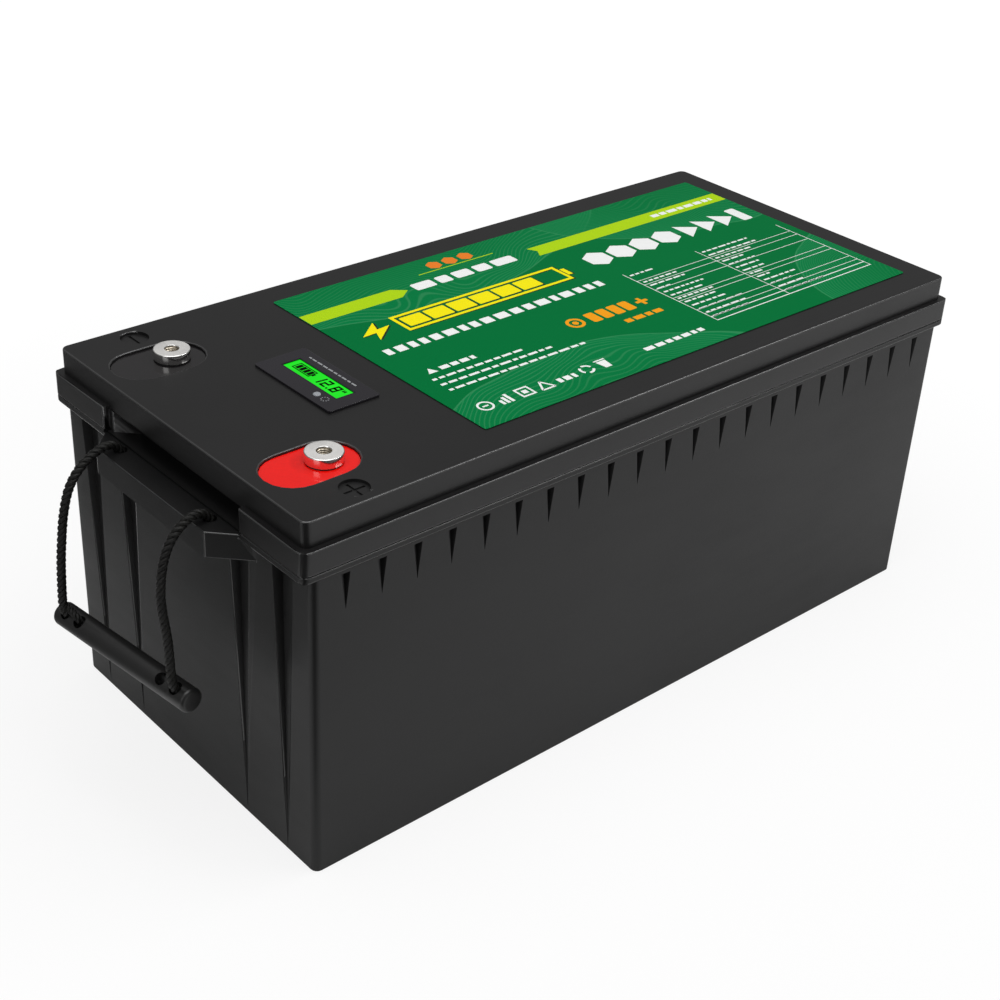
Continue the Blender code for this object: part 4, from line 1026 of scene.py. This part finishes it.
def hexagon(pr, x, y, w, h):
    pr.poly(ngon(x + w / 2, y + h / 2, 6, w * 0.56, h * 0.52, phase=pi / 6))


def arrow(pr, x, y, w, h):
    pr.poly([(x, y), (x + w, y + h / 2), (x, y + h)])


def rounded(pr, x, y, w, h):
    pr.block(x, y, w, h, radius=1.6)


def shape_row(prints, x, y, h, items):
    """Bold shapes in a row; prints are (print, shift), and a shape of None is a plain gap."""
    for shape, w in items:
        if shape is None:
            x += w
            continue
        for pr, shift in prints:
            shape(pr, x + shift, y - shift, w, h)
        x += w + 2.4


def draw_bands():
    """Two lime bands, one ending in a point and one starting with a notch, and a rule."""
    lime.poly([(LABEL_START, 59.6), (-55.0, 59.6), (-46.0, 66.0), (-55.0, 72.6),
               (LABEL_START, 72.6)])
    lime.poly([(59.0, 59.2), (62.8, 65.8), (59.0, 72.4), (LABEL_END, 72.4), (LABEL_END, 59.2)])
    lime.rect(-26.0, 79.6, 62.0, 0.9)
    white.words(170.0, 63.6, length=60.0, h=5.2, gap=0.35, widths=(0.8, 2.2))


def draw_headline():
    """A yellow bolt and battery with a shadow, a white row of shapes and a line of bars."""
    shape_row(((shadow, 0.9), (yellow, 0.0)), -109.5, 19.6, 21.4,
              ((bolt, 23.0), (None, 3.0), (battery, 134.0)))
    shape_row(((white, 0.0),), 78.0, 23.6, 20.6,
              ((hexagon, 19.0),) * 4 + ((None, 4.0),) + ((arrow, 15.0),) * 3 + ((rounded, 9.0),))
    white.words(-111.5, 0.6, length=176.0, h=8.4, gap=0.38, widths=(0.55, 1.15), fill=0.86)


def draw_badge():
    """Three small hexagons over a row of blocks."""
    for i in range(3):
        deep_orange.poly(ngon(-8.0 + 13.0 * i, 87.0, 6, 5.6, 5.6, phase=pi / 6))
    x = -41.0
    for w in (16.0, 10.0, 14.0, 12.0, 18.0):
        white.block(x, 61.8, w, 9.4, radius=1.6)
        x += w + 3.4


def draw_orange_group():
    """A ring with a dot, four blocks, a plus and a line of bars."""
    orange.arc(7.0, -30.2, inner=4.1, outer=6.3, count=30)
    orange.poly(ngon(7.0, -30.2, 10, 2.2, 2.2))
    for i in range(4):
        orange.block(18.0 + 9.6 * i, -36.4, 7.4, 12.2, radius=1.4)
    orange.rects(0.0, 0.0, ((58.4, -31.9, 9.4, 2.6), (61.8, -35.3, 2.6, 3.38),
                            (61.8, -29.28, 2.6, 3.38)))
    orange.words(34.0, -48.6, length=33.0, h=5.6, gap=0.35, widths=(0.7, 1.6))


def draw_notes():
    """A small triangle with a heading and three lines of bars."""
    white.poly([(-107.8, -31.4), (-101.0, -31.4), (-104.4, -25.4)])
    white.words(-98.0, -31.0, length=26.0, h=5.0, gap=0.35, widths=(0.7, 1.6))
    for i, length in enumerate((70.0, 84.0, 104.0)):
        white.words(-111.0, -39.4 - 7.4 * i, length, h=3.4, gap=0.5, widths=(0.8, 2.4),
                    fill=0.62)


def barred_ring(x):
    white.arc(x + 5.0, -79.2, inner=3.9, outer=5.2)
    white.rect(x + 3.0, -79.8, 4.0, 1.2)


def rising_bars(x):
    for k in range(3):
        white.rect(x + 3.2 * k, -84.0, 2.0, 5.0 + 2.2 * k)


def square_in_square(x):
    white.rects(x, 0.0, ((0, -84.2, 10, 1.3), (0, -75.4, 10, 1.3), (0, -82.88, 1.3, 7.46),
                         (8.7, -82.88, 1.3, 7.46), (3.2, -81.0, 3.6, 3.6)))


def open_triangle(x):
    corners = ((0, -84), (9.6, -84), (4.8, -75))
    for a, b in zip(corners, corners[1:] + corners[:1]):
        d = Vector((b[0] - a[0], b[1] - a[1])).normalized() * 0.65
        white.poly([(x + a[0] - d.y, a[1] + d.x), (x + a[0] + d.y, a[1] - d.x),
                    (x + b[0] + d.y, b[1] - d.x), (x + b[0] - d.y, b[1] + d.x)])


def short_word(x):
    white.words(x, -83.0, length=14.0, h=6.0, gap=0.3, widths=(0.5, 0.9))


def broken_ring(x):
    for k in range(3):
        white.arc(x + 5.0, -79.4, inner=3.4, outer=5.0, start=radians(120 * k + 15),
                  stop=radians(120 * k + 100), count=8)


def lidded_bin(x):
    white.poly([(x + 1.6, -84.4), (x + 6.4, -84.4), (x + 7.6, -76.4), (x + 0.4, -76.4)])
    white.rect(x - 0.2, -75.6, 8.4, 1.1)


def draw_marks():
    """A row of small marks and a line of bars after it."""
    x = -112.0
    for mark, advance in ((barred_ring, 14.5), (rising_bars, 14.5), (square_in_square, 14.5),
                          (open_triangle, 14.5), (short_word, 18.5), (broken_ring, 14.5),
                          (lidded_bin, 14.5)):
        mark(x)
        x += advance
    white.words(15.5, -83.0, length=50.0, h=5.0, gap=0.4, widths=(0.7, 1.5))


TABLE_COLUMNS = (81.8, 149.5, 231.0)
TABLE_BOTTOM, TABLE_TOP = -78.2, 5.2
# (y, thickness) of the rules
TABLE_RULES = (
    (-8.0, 0.45), (-14.6, 0.45), (-24.2, 0.45), (-39.6, 0.45), (-45.0, 0.45), (-60.4, 0.45),
    (-67.0, 0.45), (-72.6, 0.8), (TABLE_BOTTOM, 0.8),
)
# lengths of the bars in the first and second column, from the top
TABLE_LINES = (
    (22, 44), (0, 46), (30, 34), (32, 20), (12, 26), (36, 22), (30, 20), (34, 14), (30, 12),
    (32, 30), (40, 20), (36, 24), (34, 38),
)


def draw_table():
    for x in TABLE_COLUMNS:
        white.rect(x, TABLE_BOTTOM, 0.55, TABLE_TOP - TABLE_BOTTOM)
    for y, thickness in TABLE_RULES:
        for a, b in zip(TABLE_COLUMNS, TABLE_COLUMNS[1:]):
            white.rect(a + 0.57, y, b - a - 0.59, thickness)
    y = 0.4
    for lengths in TABLE_LINES:
        for x, length in zip(TABLE_COLUMNS, lengths):
            if length:
                white.words(x + 3.0, y, length, h=2.9, gap=0.5, widths=(0.9, 2.6), fill=0.55)
        y -= 6.1


draw_bands()
draw_headline()
draw_badge()
draw_orange_group()
draw_notes()
draw_marks()
draw_table()
for pr in (yellow, shadow, white, lime, orange, deep_orange):
    pr.done()


# ------------------------------------------------------------------ meter print
DISPLAY_X, DISPLAY_Y = -168.4, 25.4  # the origin of (u, v)
DIGIT_V, DIGIT_HEIGHT, STROKE = 2.4, 7.8, 1.5
DIGIT_LEAN = 0.10
SEGMENT_GAP = 0.08
DIGITS = {"1": "bc", "2": "abged", "8": "abcdefg"}
# (u, v, width, height)
GAUGE = ((4.0, 3.0, 16.0, 0.7), (4.0, 9.4, 16.0, 0.7), (4.0, 3.0, 0.7, 7.1),
         (19.3, 3.0, 0.7, 7.1), (20.0, 5.2, 1.2, 2.6))
segments = Print("display_segments", "segment", DISPLAY_TOP, thick=0.04)


def display_rect(u, v, w, h, lean=0.0):
    """u runs towards -Y and v towards +X; lean shifts the far edge along u."""
    x, y = DISPLAY_X + v, DISPLAY_Y - u
    segments.poly([(x, y), (x, y - w), (x + h, y - w - lean), (x + h, y - lean)])


def digit(figure, u, w):
    """Leaning seven-segment figure."""
    v, h, t = DIGIT_V, DIGIT_HEIGHT, STROKE
    places = {"a": (u, v + h - t, w, t), "g": (u, v + (h - t) / 2, w, t), "d": (u, v, w, t),
              "f": (u, v + h / 2, t, h / 2), "b": (u + w - t, v + h / 2, t, h / 2),
              "e": (u, v, t, h / 2), "c": (u + w - t, v, t, h / 2)}
    for key in DIGITS[figure]:
        seg_u, seg_v, seg_w, seg_h = places[key]
        display_rect(seg_u + (seg_v - v) * DIGIT_LEAN + SEGMENT_GAP, seg_v + SEGMENT_GAP,
                     seg_w - 2 * SEGMENT_GAP, seg_h - 2 * SEGMENT_GAP,
                     lean=0.0 if seg_w > seg_h else seg_h * DIGIT_LEAN)


def draw_display():
    """A battery gauge, then the figures 12.8 and two ticks."""
    for bar in GAUGE:
        display_rect(*bar)
    for i in range(4):
        display_rect(5.6 + 3.5 * i, 4.2, 2.8, 4.7)
    digit("1", u=24.4, w=4.4)
    digit("2", u=30.4, w=4.9)
    display_rect(36.3, DIGIT_V, 1.4, 1.4)
    digit("8", u=38.7, w=4.9)
    for u in (45.4, 46.9):
        display_rect(u, 7.4, 1.0, 2.2)
    segments.done()


def draw_display_frame():
    pr = Print("display_frame_print", "display_frame", BEZEL_TOP, thick=0.03)
    pr.rects(0.0, 0.0, ((-169.3, -26.4, 13.6, 0.66), (-169.3, 25.74, 13.6, 0.66),
                        (-169.3, -25.72, 0.56, 51.44), (-156.26, -25.72, 0.56, 51.44)))
    pr.done()


def draw_bezel_print():
    """A thin row of bars on the +X side of the display and a ring of dots."""
    pr = Print("bezel_print", "grey", BEZEL_TOP, thick=0.03)
    x0, x1 = -151.6, -150.4
    y = 24.0
    while y > -16.0:
        w = rng.uniform(2.0, 4.6)
        pr.poly([(x0, y), (x0, y - w), (x1, y - w), (x1, y)])
        y -= w + 1.0
    for x, y in ngon(-174.2, -22.6, 9, 2.2, 2.2, phase=0.2):
        pr.poly(ngon(x, y, 6, 0.42, 0.42))
    pr.done()


draw_display()
draw_display_frame()
draw_bezel_print()


# ------------------------------------------------------------------ floor, in metres from here
def floor_material():
    """Pale floor that looks white to the camera but has two dark areas in reflections."""
    s = Shader("studio_floor")
    pale = s.mix(s.noise(scale=3.0, detail=3.0), (0.90, 0.90, 0.90), (0.93, 0.93, 0.93))
    x, y, _ = s.xyz(s.coords)
    # dark on the -X -Y side, which the upright corners mirror
    near = s.math("MINIMUM", s.subtract(-0.275, x), s.subtract(-0.140, y))
    dark = s.ramp(near, span=(-0.01, 0.06), to=(0.0, 0.93), smooth=True)
    # dark on the -X +Y side, which the front wall and the lid's front face mirror
    beyond = s.math("MINIMUM", s.subtract(-0.300, x), s.subtract(y, 0.050))
    beyond = s.ramp(beyond, span=(-0.02, 0.09), to=(0.0, 0.80), smooth=True)
    dark = s.math("MAXIMUM", dark, beyond)
    seen = s.node("LightPath").outputs["Is Camera Ray"]
    dark = s.multiply(dark, s.subtract(1.0, seen))
    s.set(Base_Color=s.mix(dark, pale, (0.03, 0.03, 0.03)), Roughness=0.85,
          Specular_IOR_Level=0.1)
    # a glow for the camera alone, full beyond 0.8 m from the middle
    glow = s.node("Emission")
    s.put(glow, Color=(1, 1, 1, 1), Strength=1.03)
    distance = s.node("VectorMath", operation="LENGTH")
    s.link(s.coords, distance.inputs[0])
    fade = s.ramp(distance.outputs["Value"], span=(0.35, 0.80), to=(0.80, 1.0), smooth=True)
    blend = s.node("MixShader")
    seen = s.node("LightPath").outputs["Is Camera Ray"]
    s.link(s.multiply(seen, fade), blend.inputs[0])
    s.link(s.surface.outputs[0], blend.inputs[1])
    s.link(glow.outputs[0], blend.inputs[2])
    s.link(blend.outputs[0], s.output.inputs[0])
    return s.material


def make_floor():
    half, z = 14.0, -0.0002
    material = floor_material()
    mesh = bpy.data.meshes.new("studio_floor")
    mesh.from_pydata([(-half, -half, z), (half, -half, z), (half, half, z), (-half, half, z)],
                     [], [(0, 1, 2, 3)])
    mesh.materials.append(material)
    mesh.shade_smooth()
    link_new("studio_floor", mesh)


# ------------------------------------------------------------------ world, lights and camera
def make_world():
    """Grey gradient that brightens upwards as light, plain white to the camera."""
    world = bpy.data.worlds.new("studio")
    bpy.context.scene.world = world
    world.use_nodes = True
    nodes, link = world.node_tree.nodes, world.node_tree.links.new
    nodes.clear()
    output = nodes.new("ShaderNodeOutputWorld")
    studio = nodes.new("ShaderNodeBackground")
    coords = nodes.new("ShaderNodeTexCoord")
    split = nodes.new("ShaderNodeSeparateXYZ")
    gradient = nodes.new("ShaderNodeValToRGB")
    link(coords.outputs["Generated"], split.inputs[0])
    link(split.outputs[2], gradient.inputs[0])
    link(gradient.outputs[0], studio.inputs[0])
    stops = gradient.color_ramp.elements
    stops[0].position, stops[0].color = 0.0, (0.30, 0.30, 0.30, 1)
    stops[1].position, stops[1].color = 1.0, (1.0, 1.0, 1.0, 1)
    stops.new(0.55).color = (0.42, 0.42, 0.42, 1)
    studio.inputs["Strength"].default_value = 0.62
    white_back = nodes.new("ShaderNodeBackground")
    white_back.inputs["Color"].default_value = (1, 1, 1, 1)
    white_back.inputs["Strength"].default_value = 1.0
    ray = nodes.new("ShaderNodeLightPath")
    mix = nodes.new("ShaderNodeMixShader")
    link(ray.outputs["Is Camera Ray"], mix.inputs[0])
    link(studio.outputs[0], mix.inputs[1])
    link(white_back.outputs[0], mix.inputs[2])
    link(mix.outputs[0], output.inputs[0])


def area_light(name, place, target, size, size_y, power):
    light = bpy.data.lights.new(name, "AREA")
    light.energy = power
    light.shape = "RECTANGLE"
    light.size, light.size_y = size, size_y
    ob = link_new(name, light)
    ob.location = place
    ob.rotation_mode = "QUATERNION"
    ob.rotation_quaternion = (Vector(target) - Vector(place)).to_track_quat("-Z", "Y")


CAMERA_PLACE = (-0.66603, -0.70008, 0.66896)
# the camera's own axes; it looks against CAMERA_BACK
CAMERA_RIGHT = (0.75263818, -0.65672612, 0.04739791)
CAMERA_UP = (0.3080527, 0.4148344, 0.85616351)
CAMERA_BACK = (-0.58192723, -0.6297803, 0.51452646)


def make_camera():
    data = bpy.data.cameras.new("camera")
    camera = link_new("camera", data)
    bpy.context.scene.camera = camera
    data.sensor_width = 36.0  # mm
    data.lens = 61.9345228  # mm
    data.clip_start, data.clip_end = 0.05, 60.0
    rows = zip(CAMERA_RIGHT, CAMERA_UP, CAMERA_BACK, CAMERA_PLACE)
    camera.matrix_world = Matrix((*rows, (0, 0, 0, 1)))


make_floor()
make_world()
area_light("overhead_softbox", (-0.2, -0.2, 1.9), target=(0, 0, 0),
           size=1.8, size_y=1.4, power=16.0)
area_light("left_fill", (-1.9, -0.45, 0.75), target=(-0.25, 0, 0.1),
           size=1.0, size_y=0.9, power=3.0)
area_light("right_strip", (1.74, -1.12, 2.16), target=(0, -0.1, 0.2),
           size=2.0, size_y=0.40, power=18.5)
make_camera()

view = bpy.context.scene.view_settings
view.view_transform = "Standard"
view.look = "None"
view.exposure = 0.0
view.gamma = 1.0
